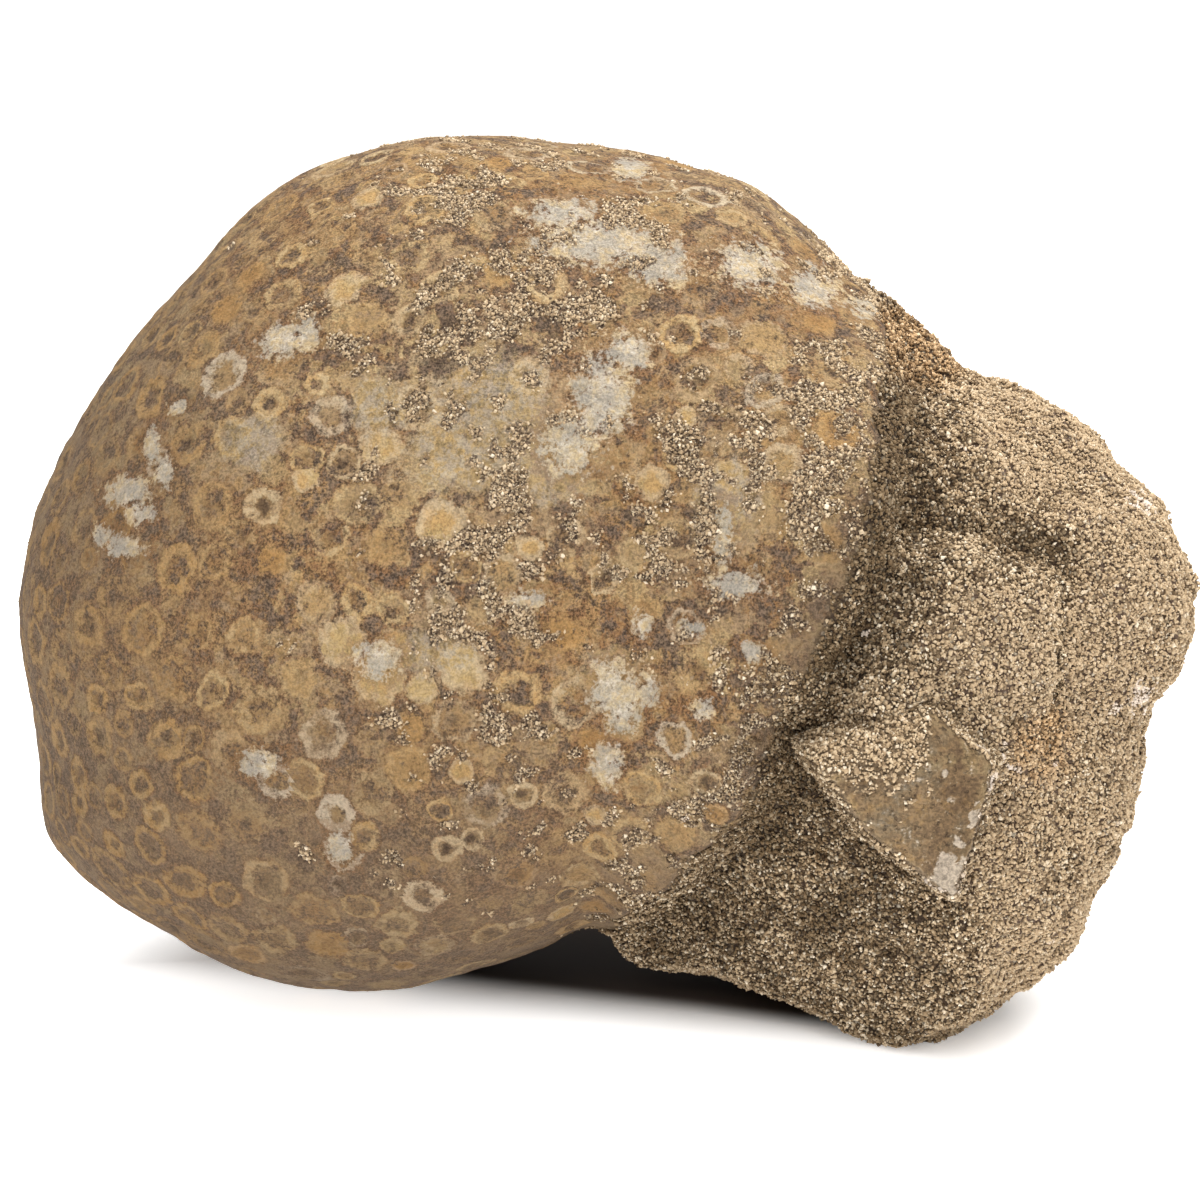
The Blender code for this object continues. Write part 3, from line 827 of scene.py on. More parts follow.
# %% Values
class Value:
    """One output socket. Operators on it add a Math node, or a Vector Math node for colours and places."""

    def __init__(self, shader, socket):
        self.shader = shader
        self.socket = socket

    def work(self, operation, *terms):
        """One node of arithmetic: on numbers, or part by part on colours and places."""
        wide = any(isinstance(term, Value) and term.socket.type != "VALUE" for term in terms)
        kind = "ShaderNodeVectorMath" if wide else "ShaderNodeMath"
        if wide:
            terms = [(term,) * 3 if isinstance(term, (int, float)) else term for term in terms]
        return self.shader.make(kind, {"operation": operation}, dict(enumerate(terms)))

    def __add__(self, other):
        return self.work("ADD", self, other)

    __radd__ = __add__

    def __sub__(self, other):
        return self.work("SUBTRACT", self, other)

    def __rsub__(self, other):
        return self.work("SUBTRACT", other, self)

    def __mul__(self, other):
        return self.work("MULTIPLY", self, other)

    __rmul__ = __mul__

    def __truediv__(self, other):
        return self.work("DIVIDE", self, other)


print(sum(callable(part) for part in vars(Value).values()), "things a value can do")

# %% Shaders
STONE_SHINE = 0.25


class Shader:
    """A material with one Principled surface."""

    def __init__(self, name):
        self.material = bpy.data.materials.new(name)
        self.material.use_nodes = True
        self.tree = self.material.node_tree
        self.tree.nodes.clear()

    def make(self, kind, settings, inputs, output=0):
        """Any node: its settings are set first, then the values or links of its sockets."""
        node = self.tree.nodes.new(kind)
        for name, value in settings.items():
            setattr(node, name, value)
        for name, value in inputs.items():
            if isinstance(value, Value):
                self.tree.links.new(value.socket, node.inputs[name])
            else:
                node.inputs[name].default_value = value
        return Value(self, node.outputs[output])

    def place(self):
        """The place on the piece, in millimetres."""
        return self.make("ShaderNodeTexCoord", {}, {}, "Object") * (1.0 / MM)

    def read(self, name, output="Fac"):
        """One of the piece's own attributes: Fac for a number, Vector for three."""
        return self.make("ShaderNodeAttribute", {"attribute_name": name}, {}, output)

    def split(self, vector):
        """A place's or a colour's three parts."""
        node = self.make("ShaderNodeSeparateXYZ", {}, {0: vector}).socket.node
        return [Value(self, socket) for socket in node.outputs]

    def noise(self, place, size, detail=2.0, roughness=0.5, output=0):
        """Soft noise from 0 to 1, with lumps about so many millimetres across."""
        inputs = {"Vector": place, "Scale": 1.0 / size, "Detail": detail, "Roughness": roughness}
        return self.make("ShaderNodeTexNoise", {}, inputs, output)

    def cells(self, place, size):
        """Cells about so many millimetres across: the distance from their middle, and a number each."""
        inputs = {"Vector": place, "Scale": 1.0 / size}
        distance = self.make("ShaderNodeTexVoronoi", {}, inputs, "Distance")
        colour = Value(self, distance.socket.node.outputs["Color"])
        return distance, self.split(colour)[0]

    def step(self, value, low, high):
        """0 below low, 1 above high, and smooth between. With low over high it falls instead."""
        rising = low < high
        inputs = {"Value": value, "From Min": min(low, high), "From Max": max(low, high),
                  "To Min": 0.0 if rising else 1.0, "To Max": 1.0 if rising else 0.0}
        return self.make("ShaderNodeMapRange", {"interpolation_type": "SMOOTHSTEP"}, inputs)

    def clip(self, value):
        """The value kept between 0 and 1."""
        return self.make("ShaderNodeClamp", {}, {0: value})

    def mix(self, share, first, second):
        """The first colour where the share is 0, the second where it is 1."""
        return self.make("ShaderNodeMix", {"data_type": "RGBA"}, {0: share, 6: first, 7: second}, 2)

    def ramp(self, value, stops):
        """A colour ramp from (position, colour) pairs."""
        colour = self.make("ShaderNodeValToRGB", {}, {0: value})
        ramp = colour.socket.node.color_ramp
        for number, (position, shade) in enumerate(stops):
            stop = ramp.elements[number] if number < 2 else ramp.elements.new(position)
            stop.position = position
            stop.color = shade
        return colour

    def bump(self, height):
        """A normal tilted by a height in millimetres."""
        return self.make("ShaderNodeBump", {}, {"Strength": 1.0, "Distance": MM, "Height": height})

    def surface(self, colour, roughness, normal):
        """Dull stone of a colour, with half the usual shine."""
        inputs = {"Base Color": colour, "Roughness": roughness, "Normal": normal,
                  "Specular IOR Level": STONE_SHINE}
        self.show(self.make("ShaderNodeBsdfPrincipled", {}, inputs))
        return self.material

    def show(self, shaded):
        """Ends the material with what it shows."""
        output = self.tree.nodes.new("ShaderNodeOutputMaterial")
        self.tree.links.new(shaded.socket, output.inputs["Surface"])


print(sum(callable(part) for part in vars(Shader).values()), "things a shader can make")


# %% Colours as seen
def tone(red, green, blue):
    """A colour given as seen on a screen, 0 to 255, turned to the light that it sends back."""
    seen = np.array([red, green, blue]) / 255.0
    light = np.where(seen <= 0.04045, seen / 12.92, ((seen + 0.055) / 1.055) ** 2.4)
    return (*(float(part) for part in light), 1.0)


print("mid grey on a screen sends back", round(tone(128, 128, 128)[0], 3), "of the light")

# %% [markdown]
# ## The stone's finish
#
# Worn limestone isn't one colour. Its ground is brown with ochre and purplish stains and a fine speckle, the
# cups are drawn on it in cream, and patches of calcite, lemon-coloured carbonate and sand lie over both. The
# sandstone beneath the loose-looking grains is dark, because that is what shows between them.

# %% Colours
EARTH = tone(106, 88, 71)
BROWN = tone(123, 101, 78)
TAN = tone(151, 126, 95)
OCHRE = tone(154, 120, 75)
RUST = tone(126, 90, 55)
PLUM = tone(102, 84, 70)
AMBER = tone(164, 122, 68)
CREAM = tone(190, 167, 126)
WHITISH = tone(200, 191, 176)
GREY = tone(165, 158, 145)
LEMON = tone(174, 149, 101)
LEMON_DULL = tone(160, 136, 97)
# The duller tan that the painted shade on the coral blends toward.
TAN_DULL = tone(132, 111, 88)
UMBER = tone(76, 59, 45)
SAND_PALE = tone(204, 190, 162)
SAND_DULL = tone(146, 126, 102)
SAND_GAP = tone(98, 80, 68)
SAND_LIT = tone(188, 165, 134)
PALE_GRAIN = tone(226, 212, 198)
OCHRE_PALE = tone(184, 149, 98)
FINE_STONE = tone(144, 125, 99)
CHIPPED = tone(208, 194, 177)
# The brown of the shadow painted on the paper between the stone's feet.
PAINTED_SHADOW = tone(80, 67, 60)
# The tints of sand, from the rarest dark grain to the rarest pale one.
SAND_STOPS = (
    (0.0, tone(94, 75, 54)), (0.12, tone(125, 103, 77)), (0.30, tone(160, 136, 105)),
    (0.65, tone(186, 162, 129)), (0.90, tone(204, 184, 154)), (1.0, tone(228, 214, 191)),
)
print(len(SAND_STOPS), "tints of sand")


# %% The ground between the cups
def coral_ground(shader, broad, middling, small, island):
    """Smooth islands, tan to lemon, in a rougher ground of plum to brown, with rust where the iron went."""
    mix, step, read = shader.mix, shader.step, shader.read
    low_ground = shader.ramp(middling * 0.6 + small * 0.4, ((0.38, PLUM), (0.48, EARTH), (0.58, BROWN)))
    high_ground = shader.ramp(broad * 0.5 + small * 0.5, (
        (0.38, BROWN), (0.46, TAN), (0.54, LEMON_DULL), (0.62, CREAM),
    ))
    mottle = mix(island, low_ground, high_ground)
    rust = step(small + read("ochre") * 0.12, 0.52, 0.61)
    return mix(rust * 0.65, mottle, mix(step(middling, 0.45, 0.55), RUST, OCHRE))


# %% [markdown]
# ## Drawing the cups
#
# Each face corner knows where it lies in its nearest cup, counted in that cup's radii. The length of that
# place is 0 in the middle and 1 on the wall, so a cup is drawn with smooth steps of one number. Noise added
# to the place first makes every wall wobble and break, as worn ones do.

# %% Cups
CUP_WOBBLE = 1.55


def cup_colours(shader, small, middling, filling, amber, white, seed):
    """The colour of a cup's wall and of what fills it, by the cup's own numbers."""
    mix, step = shader.mix, shader.step
    wall_colour = mix(step(small, 0.40, 0.60), OCHRE_PALE, CREAM)
    wall_colour = mix(white, wall_colour, WHITISH)
    wall_colour = mix(amber * 0.7, wall_colour, AMBER)
    filled = mix(step(small, 0.38, 0.62), LEMON, CREAM)
    ochre = step(seed, 0.20, 0.50) * step(middling, 0.40, 0.54)
    filled = mix(ochre * 0.9, filled, OCHRE_PALE)
    filled = mix(filling, mix(0.6, EARTH, OCHRE), filled)
    return wall_colour, mix(amber * 0.8, filled, AMBER)


def draw_cups(shader, place, colour, middling, small, fine):
    """Cups over the ground, by the distance from each one's middle, in its radii, and how wobbly it is."""
    mix, step, read = shader.mix, shader.step, shader.read
    wobble = (shader.noise(place + 7.0, 2.1, 6.0, 0.72, "Color") - 0.5) * CUP_WOBBLE
    cup_x, cup_y, seed = shader.split(read("cup_place", "Vector") + wobble)
    wall, filling, hollow = shader.split(read("cup_look", "Vector"))
    amber, white, thick = shader.split(read("cup_tint", "Vector"))
    wall_colour, filled = cup_colours(shader, small, middling, filling, amber, white, seed)

    far = shader.make("ShaderNodeMath", {"operation": "SQRT"}, {0: cup_x * cup_x + cup_y * cup_y})
    on_coral = 1.0 - read("sandy")
    inner = far + thick * 0.35 + (small - 0.5) * 0.9
    ring = step(inner, 0.70, 0.94) * step(far, 1.14, 0.94) * on_coral
    ring = ring * step(middling * 0.55 + small * 0.25 + fine * 0.20 + wall * 0.15, 0.50, 0.62)
    inside = step(inner - filling * 0.25, 0.90, 0.74) * on_coral
    rim = step(far, 1.34, 1.10) * step(far, 0.94, 1.08) * on_coral
    rim = rim * (wall + filling * 0.6) * 0.6
    patchy = step(small * 0.6 + fine * 0.4 + filling * 0.20, 0.50, 0.62)
    full = inside * patchy * (filling * 0.9 + wall * 0.10)
    dark = step(far, 0.50, 0.18) * hollow * on_coral * 0.8

    colour = mix(rim * step(small, 0.62, 0.40) * 0.8, colour, RUST)
    colour = mix(full, colour, filled)
    colour = mix(ring * wall, colour, wall_colour)
    return mix(dark, colour, UMBER), ring * wall, full, white


# %% [markdown]
# ## Layers over the cups
#
# Over ground and cups lie lemon carbonate, chalky calcite with a rusty edge, crust in the hollows and
# painted shade at the foot, at the left and beside the valley. On the sandstone only the bed between the
# real grains
# is left to colour: cells of about a grain's size, dark in the gaps. The same noises that colour a layer
# also raise its bump, so both agree.

# %% The stone's finish
BED_SIZE = 0.55


def lay_patches(shader, colour, middling, small, fine):
    """Lemon and chalky patches: a patch's own number plus noise, over a threshold."""
    mix, step, read = shader.mix, shader.step, shader.read
    lemon = step(read("lemon") * 0.42 + middling * 0.9, 0.54, 0.76)
    colour = mix(lemon * 0.55, colour, mix(step(small, 0.4, 0.6), LEMON, GREY))
    chalk = read("grey") * 0.42 + small * 0.80 + (fine - 0.5) * 0.35
    grey = step(chalk, 0.63, 0.76)
    stained = step(chalk, 0.50, 0.62) * step(chalk, 0.74, 0.62)
    colour = mix(stained * 0.5, colour, RUST)
    pale = mix(step(small, 0.4, 0.6), WHITISH, CREAM)
    chalky = mix(step(middling, 0.40, 0.60), GREY, pale)
    return mix(grey * 0.85, colour, chalky), lemon, grey


def sand_bed(shader, place):
    """The bed between grains: one colour a cell, dark toward the cells' edges, with painted shade and light.
    """
    mix, step, read = shader.mix, shader.step, shader.read
    from_grain, tint = shader.cells(place, BED_SIZE)
    gaps = mix(step(read("dim"), 0.25, -0.30), UMBER, SAND_GAP)
    bed = mix(step(from_grain, 0.36, 0.70), shader.ramp(tint, SAND_STOPS) * 0.8, gaps)
    return mix(read("dim"), bed, bed * 0.45), from_grain


def stone_finish():
    """Ground, cups, patches, sand and painted shade in that order on the coral, and the bed on the
    sandstone.
    """
    shader = Shader("coral_and_sandstone")
    mix, step, read = shader.mix, shader.step, shader.read
    # Each noise is read from a place of its own, or they would all rise and fall together.
    place = shader.place()
    broad = shader.noise(place, 9.0, 5.0, 0.6)
    middling = shader.noise(place + 31.0, 3.2, 7.0, 0.74)
    small = shader.noise(place + 57.0, 1.5, 6.0, 0.74)
    fine = shader.noise(place + 83.0, 0.62, 3.0, 0.70)
    speck = shader.noise(place + 97.0, 0.30, 2.0, 0.7)
    grit = speck * 0.62 + fine * 0.38

    shore = shader.noise(place + 71.0, 3.6, 6.0, 0.62) * 0.8 + small * 0.2
    island = step(shore, 0.485, 0.525)
    ground = coral_ground(shader, broad, middling, small, island)
    outline = step(shore, 0.45, 0.485) * step(shore, 0.52, 0.485)
    ground = mix(outline * 0.35, ground, RUST)
    # Painted shade, first as a blend toward a duller tan.
    ground = mix(read("painted_shade") * 0.65, ground, TAN_DULL)
    colour, ring, full, white = draw_cups(shader, place, ground, middling, small, fine)
    colour, lemon, grey = lay_patches(shader, colour, middling, small, fine)

    # Sand in the hollows: pale grains over most of it, and a net of dark gaps.
    crust = step(read("crust") + (small - 0.5) * 1.2, 0.35, 0.65)
    sand = shader.ramp(speck * 0.8 + fine * 0.2, (
        (0.36, UMBER), (0.46, SAND_GAP), (0.54, SAND_DULL), (0.64, SAND_PALE),
    ))
    colour = mix(crust * 0.85, colour, sand)

    # A speckle, weaker where the stone is smooth and in the painted shade, then the painted shade itself.
    smooth = shader.clip(ring + full + grey + (lemon + island) * 0.6)
    rough = (1.05 - smooth * 0.65) * (1.0 - read("painted_shade") * 0.4)
    colour = colour * (0.89 + (step(grit, 0.38, 0.62) - 0.56) * rough)
    shade_share = read("painted_shade") * (1.0 - (grey + ring * white) * 0.5)
    colour = mix(shade_share, colour, colour * (0.68, 0.66, 0.65))
    bed, from_grain = sand_bed(shader, place)
    colour = mix(read("sandy"), colour, bed)

    height = (grit - 0.5) * (0.42 + crust * 0.45) + (small - 0.5) * 0.45 + ring * 0.10 - crust * 0.10
    height = height - read("sandy") * from_grain * 0.5
    return shader.surface(colour, 0.92 - grey * 0.2, shader.bump(height))


coral_head.data.materials.append(stone_finish())
print("the stone's finish has", len(coral_head.data.materials[0].node_tree.nodes), "nodes")

# %% [markdown]
# ## The shard
#
# Below the slab a splinter of finer stone stands out of the break, with flat faces and crisp edges. Its
# corner toward the viewer is chipped to white. It is a ball whose radius is cut by planes, as in the part,
# and it reaches far enough into the sandstone that no gap can open between them.

# %% The shard's form
SHARD_STEPS = 60
SHARD_MIDDLE = (35.0, 29.0, 42.0)
SHARD_PLANES = (
    ((0.05, -0.33, 0.94), 8.6), ((0.02, 0.40, 0.92), 10.6), ((-0.60, -0.80, 0.08), 7.5),
    ((-0.82, -0.57, 0.08), 7.8), ((0.94, -0.29, 0.18), 9.8), ((0.60, 0.76, 0.25), 10.2),
    ((-0.32, 0.92, 0.22), 9.6), ((0.0, 0.0, -1.0), 16.0), ((-0.05, -0.99, 0.12), 13.4),
)
SHARD_EDGE_POWER = 26.0
SHARD_LUMPS = ((0.35, 5.0, 8),)


def plane_terms(direction):
    """For each direction and plane, 1 over how far off the plane is that way, or 0 where it looks away."""
    normals = np.array([normal for normal, _ in SHARD_PLANES])
    normals /= np.linalg.norm(normals, axis=1, keepdims=True)
    distances = np.array([distance for _, distance in SHARD_PLANES])
    return np.maximum(direction @ normals.T / distances, 0.0)


def shard_points(direction):
    """The shard's surface: the radius is (sum of (normal . direction / distance)^p)^(-1/p)."""
    total = (plane_terms(direction) ** SHARD_EDGE_POWER).sum(axis=1)
    points = np.array(SHARD_MIDDLE) + direction * (total ** (-1.0 / SHARD_EDGE_POWER))[:, None]
    return points + direction * relief(points, SHARD_LUMPS)[:, None]


shard_direction, shard_faces, shard_places = ball_grid(SHARD_STEPS, 0.0)
shard_stone = shard_points(shard_direction)
shard_normal = surface_normals(shard_stone, shard_faces)
print("the shard has", 2 * len(shard_faces), "triangles")

# %% Chips and roughness
# Chips: their middle (across, up, toward) and how far they reach.
CHIPS = (
    ((40.0, 17.8, 50.0), 5.2), ((41.4, 21.8, 50.5), 2.6), ((42.6, 25.0, 50.0), 1.5),
    ((44.6, 30.0, 50.0), 1.5), ((44.0, 34.0, 50.0), 1.3), ((39.0, 31.5, 51.0), 1.2),
)
CHIP_CORE = 0.55
CHIP_WANDER = ((1.0, 1.6, 51),)
CHIP_ROUGH = ((0.35, 0.9, 53),)
SHARD_ROUGH = ((0.16, 1.2, 52), (0.25, 3.0, 56))

chip = np.zeros(len(shard_stone))
for middle, reach in CHIPS:
    away = np.linalg.norm(shard_stone - middle, axis=1) + relief(shard_stone, CHIP_WANDER)
    chip = np.maximum(chip, 1.0 - smooth_step(away, CHIP_CORE * reach, reach))
rough = relief(shard_stone, SHARD_ROUGH) + chip * relief(shard_stone, CHIP_ROUGH)
shard_stone = shard_stone + shard_normal * rough[:, None]
shard = piece("shard", rest(shard_stone), shard_faces, shard_places)
keep(shard, "chip", chip, "POINT")
print(len(CHIPS), "chips, and a surface rough by", round(float(np.abs(rough).max()), 2), "mm")

# %% Its edges, its bare sides and its shade
EDGE_POWER = 9.0
EDGE_SPAN = (1.3, 2.0)
FACE_SIDE = np.array(SHARD_PLANES[0][0])
FACE_SPAN = (0.90, 0.96)
# Its corner is bare from here on to the right, along a line that wanders, where it looks forward.
CORNER_FROM = 37.0
CORNER_WANDER = ((1.5, 2.2, 54),)
CORNER_BLEND = 0.6
CORNER_FORWARD = 0.55
# From where up to where grains gather on its lower face, and the noise that keeps some on it anywhere.
SHARD_THINS = (26.0, 33.0)
THIN_GATHERS = 1.1
CLINGING = ((1.0, 1.2, 55),)
CLING_SPAN = (-0.75, -0.45)
# A darker band down its face: the middle of it across, and its width.
SHARD_SHADE = (41.0, 3.0)
SHADE_WANDER = ((1.2, 2.5, 57),)


def edge_share(direction):
    """Where two of the shard's planes meet: the sum of all planes' terms over the largest one."""
    terms = plane_terms(direction) ** EDGE_POWER
    return smooth_step(terms.sum(axis=1) / terms.max(axis=1), *EDGE_SPAN)


bare_from = CORNER_FROM + relief(shard_stone, CORNER_WANDER)
corner_side = smooth_step(shard_stone[:, 0], bare_from - CORNER_BLEND, bare_from + CORNER_BLEND)
corner_side = corner_side * (shard_normal[:, 2] > CORNER_FORWARD)
clinging = relief(shard_stone, CLINGING) - THIN_GATHERS * smooth_step(shard_stone[:, 1], *SHARD_THINS)
lower_face = smooth_step(shard_normal @ FACE_SIDE, *FACE_SPAN) * smooth_step(clinging, *CLING_SPAN)
bare = np.maximum(lower_face, corner_side)
shade = hill(shard_stone[:, 0] + relief(shard_stone, SHADE_WANDER), *SHARD_SHADE)
keep(shard, "edge", edge_share(shard_direction), "POINT")
keep(shard, "bare", bare, "POINT")
keep(shard, "shade", shade, "POINT")
print(f"{(bare > 0.5).mean():.0%} of the shard is bare")


# %% The shard's finish
def shard_finish():
    """Fine stone from brown to grey, stained, with pale edges, white chips, dark pores and a dim bed."""
    shader = Shader("fine_stone")
    mix, step, read = shader.mix, shader.step, shader.read
    place = shader.place()
    broad = shader.noise(place + 11.0, 6.0, 3.0)
    small = shader.noise(place + 23.0, 1.2, 3.0, 0.6)
    speck = shader.noise(place + 37.0, 0.4, 2.0, 0.6)
    colour = shader.ramp(broad * 0.45 + small * 0.55, (
        (0.38, BROWN), (0.48, TAN), (0.58, FINE_STONE), (0.74, GREY),
    ))
    stain = step(shader.noise(place + 41.0, 2.4, 5.0, 0.65), 0.52, 0.64)
    colour = mix(stain * 0.45, colour, OCHRE_PALE)
    colour = mix(read("edge") * step(small, 0.35, 0.6) * 0.55, colour, CREAM)
    chip = step(read("chip") + (small - 0.5) * 2.2 + (speck - 0.5) * 0.8, 0.25, 0.6)
    colour = mix(chip * 0.85, colour, CHIPPED)
    dark = step(shader.noise(place + 53.0, 0.9, 4.0, 0.7), 0.44, 0.34)
    colour = mix(dark * 0.7 * (1.0 - chip), colour, UMBER)
    colour = mix(read("shade") * 0.7 * (1.0 - chip), colour, colour * (0.70, 0.65, 0.60))
    colour = mix(1.0 - read("bare"), colour, SAND_DULL)
    colour = colour * (1.0, 0.975, 0.93) * (0.42 + step(speck, 0.36, 0.64) * 0.28)
    height = (speck - 0.5) * 0.22 + (small - 0.5) * 0.30 - dark * 0.1
    return shader.surface(colour, 0.9, shader.bump(height))


shard.data.materials.append(shard_finish())
print("the shard's finish has", len(shard.data.materials[0].node_tree.nodes), "nodes")

# %% [markdown]
# ## Sand grains
#
# What makes the break look like sandstone is that every grain stands out on its own and throws a shadow.
# A bump would only tint them. So they are real: small angular eight-sided grains, thrown onto the stone's
# own faces in proportion to area, sunk a little, each with its own turn, size and tint. Joined into a few
# meshes they cost eight triangles each, which a stone this small can afford.

# %% One grain, many times
GRAIN_POINTS = np.array([(1, 0, 0), (-1, 0, 0), (0, 1, 0), (0, -1, 0), (0, 0, 1), (0, 0, -1)], float)
GRAIN_FACES = np.array([
    (0, 2, 4), (2, 1, 4), (1, 3, 4), (3, 0, 4), (2, 0, 5), (1, 2, 5), (3, 1, 5), (0, 3, 5),
])
# How far each point goes astray, and how far a grain is stretched along its own three axes.
GRAIN_JITTER = (0.7, 1.3)
GRAIN_STRETCH = (0.55, 1.25)


def turns(rng, count):
    """Random turning matrices, from random unit quaternions."""
    w, x, y, z = rng.normal(size=(count, 4)).T
    length = np.sqrt(w * w + x * x + y * y + z * z)
    w, x, y, z = w / length, x / length, y / length, z / length
    return np.stack([
        1 - 2 * (y * y + z * z), 2 * (x * y - z * w), 2 * (x * z + y * w),
        2 * (x * y + z * w), 1 - 2 * (x * x + z * z), 2 * (y * z - x * w),
        2 * (x * z - y * w), 2 * (y * z + x * w), 1 - 2 * (x * x + y * y),
    ], axis=1).reshape(-1, 3, 3)


def grain_shapes(rng, size):
    """Each grain's six points round its middle: jittered, stretched, turned, and scaled to its size."""
    count = len(size)
    shape = GRAIN_POINTS[None] * rng.uniform(*GRAIN_JITTER, (count, 6, 1))
    shape = shape * rng.uniform(*GRAIN_STRETCH, (count, 1, 3))
    return np.einsum("nij,nkj->nki", turns(rng, count), shape) * size[:, None, None]


print("a grain has", len(GRAIN_FACES), "faces")

# %% Seats on a surface, and cells on the bake's map
GRAIN_CORNERS = np.array([(0.2, 0.2), (0.8, 0.2), (0.5, 0.8)])


def grain_seats(rng, count, points, faces, share):
    """Random places on faces that are picked by area times share: place, outward normal, and point."""
    corners = points[faces]
    out = np.cross(corners[:, 2] - corners[:, 0], corners[:, 3] - corners[:, 1])
    area = np.linalg.norm(out, axis=1) / 2.0
    weight = area * share[faces].mean(axis=1)
    face = rng.choice(len(faces), count, p=weight / weight.sum())
    a, b = rng.random((2, count, 1))
    near = corners[face, 0] * (1 - a) + corners[face, 1] * a
    far = corners[face, 3] * (1 - a) + corners[face, 2] * a
    out = out[face] / np.linalg.norm(out[face], axis=1, keepdims=True)
    return near * (1 - b) + far * b, out, faces[face, 0]


def grain_cells(count):
    """UV places: a square of cells, one cell a grain, with one small triangle that all its faces share."""
    cells_across = math.ceil(math.sqrt(count))
    cell = np.stack([np.arange(count) % cells_across, np.arange(count) // cells_across], axis=1)
    spots = np.repeat(cell, len(GRAIN_FACES), axis=0)[:, None] + GRAIN_CORNERS[None]
    return (spots / cells_across).reshape(-1, 2)


print("each grain's cell holds one triangle for its", len(GRAIN_FACES), "faces")

# %% Throwing grains
CLUMP_LAYERS = ((1.0, 1.5, 64), (0.5, 0.75, 65))
CLUMP_FLOOR = 0.6
CLUMP_SHADE = 0.38
GRAIN_PROUD = 0.15


def thrown_grains(name, count, sizes, lift, surface, share, seed, tints):
    """Grains on a surface, given as its points and faces: more where the share is high.

    They gather in clumps: noise lifts a grain, and a lifted one gets painted light, a sunk one painted
    shade.
    A few are a good deal larger than the rest. Each face carries its grain's random tint and the surface's
    tints and painted light and shade where it sits.
    """
    rng = np.random.default_rng(seed)
    middle, out, spot = grain_seats(rng, count, *surface, share)
    size = rng.uniform(*sizes, count) * (0.8 + 0.6 * rng.random(count) ** 4)
    clump = relief(middle, CLUMP_LAYERS)
    middle = middle + out * (lift * (clump + CLUMP_FLOOR) + GRAIN_PROUD * size)[:, None]
    points = (middle[:, None] + grain_shapes(rng, size)).reshape(-1, 3)
    faces = (np.arange(count)[:, None, None] * 6 + GRAIN_FACES[None]).reshape(-1, 3)
    thing = piece(name, settled(points), faces, grain_cells(count))
    tints = {label: values[spot] for label, values in tints.items()}
    # Painted shade on sunk grains, painted light on lifted ones.
    tints["dim"] = tints["dim"] - CLUMP_SHADE * clump
    tints["tint"] = rng.random(count)
    for label, values in tints.items():
        keep(thing, label, np.repeat(values, len(GRAIN_FACES)), "FACE")
    print(name, count, "grains,", len(faces), "triangles")
    return thing


# %% [markdown]
# ## Painted light and shade in the sandstone
#
# Some of the sandstone is paler and some darker, partly in its own tone and partly as painted light and
# shade.
# One number does both: above 0 it darkens grains and the bed under them, below 0 it lightens them. Hollows,
# the underside and the slab's right edge get painted shade, a few soft patches are given, and noise varies
# the rest.

# %% Painted shade and light: patches as (across, up, half width, half height)
# Hollows that get painted shade.
HOLLOWS = ((49.8, 56.6, 5.2, 3.6), (38.0, 59.5, 5.0, 1.6))
# Lighter patches: partly painted light, partly a paler tone of the stone.
LIGHT_PATCHES = (
    (39.0, 81.0, 6.0, 3.5), (54.0, 70.0, 9.0, 7.0), (61.0, 60.0, 7.0, 10.0), (58.0, 44.0, 5.0, 10.0),
    (47.0, 45.0, 6.0, 7.0), (44.0, 20.0, 6.0, 5.0), (27.0, 38.0, 5.0, 2.6), (50.0, 8.0, 9.0, 5.0),
)
# Darker patches: partly painted shade along the valley and low down, partly a darker tone of the stone.
DARK_PATCHES = (
    (25.0, 50.0, 5.0, 7.0), (19.0, 27.0, 7.0, 6.0), (28.0, 23.0, 6.0, 4.0), (13.0, 9.0, 6.0, 3.0),
    (30.0, 13.0, 7.0, 4.0), (31.0, 64.0, 4.0, 7.0), (35.0, 72.5, 5.0, 5.0), (40.5, 64.5, 5.0, 6.0),
)
# The slab's right edge gets a thin line of painted shadow, which wanders, and this is its width.
SLAB_EDGE = ((53.8, 52.5), (52.8, 33.0))
SLAB_EDGE_WIDTH = 0.9
SLAB_EDGE_WANDER = ((0.8, 4.0, 75),)
# Painted shade in the valley beside the coral and on the underside, and noise that varies it, on the face
# and behind.
VALLEY_DIM = (3.5, 7.0)
VALLEY_DIM_SPAN = (5.0, 15.0)
BENEATH_SPAN = (-3.5, -0.5)
DIM_LAYERS = ((0.28, 6.0, 61), (0.38, 2.5, 63))
DIM_BEHIND = ((0.45, 15.0, 73),)

beneath = smooth_step(stone @ np.array(UNDERSIDE[0]) - UNDERSIDE[1], *BENEATH_SPAN) * front
valley = hill(past, *VALLEY_DIM) * front * smooth_step(stone[:, 1], *VALLEY_DIM_SPAN)
hollow = np.maximum(valley, blobs(stone, HOLLOWS))
slab_edge = along_line(
    stone[:, 0] + relief(stone, SLAB_EDGE_WANDER), stone[:, 1], SLAB_EDGE, SLAB_EDGE_WIDTH
) * front
# Above 0 the number is painted shade, below 0 painted light.
dim = np.maximum(0.8 * hollow, 0.55 * beneath)
dim += 0.36 * blobs(stone, DARK_PATCHES) - 0.45 * blobs(stone, LIGHT_PATCHES) + 0.55 * slab_edge
dim += relief(stone, DIM_LAYERS) + (1.0 - front) * relief(stone, DIM_BEHIND)
keep(coral_head, "dim", dim, "POINT")
print(f"{(dim[sandy > 0.5] > 0.25).mean():.0%} of the sandstone is dim")

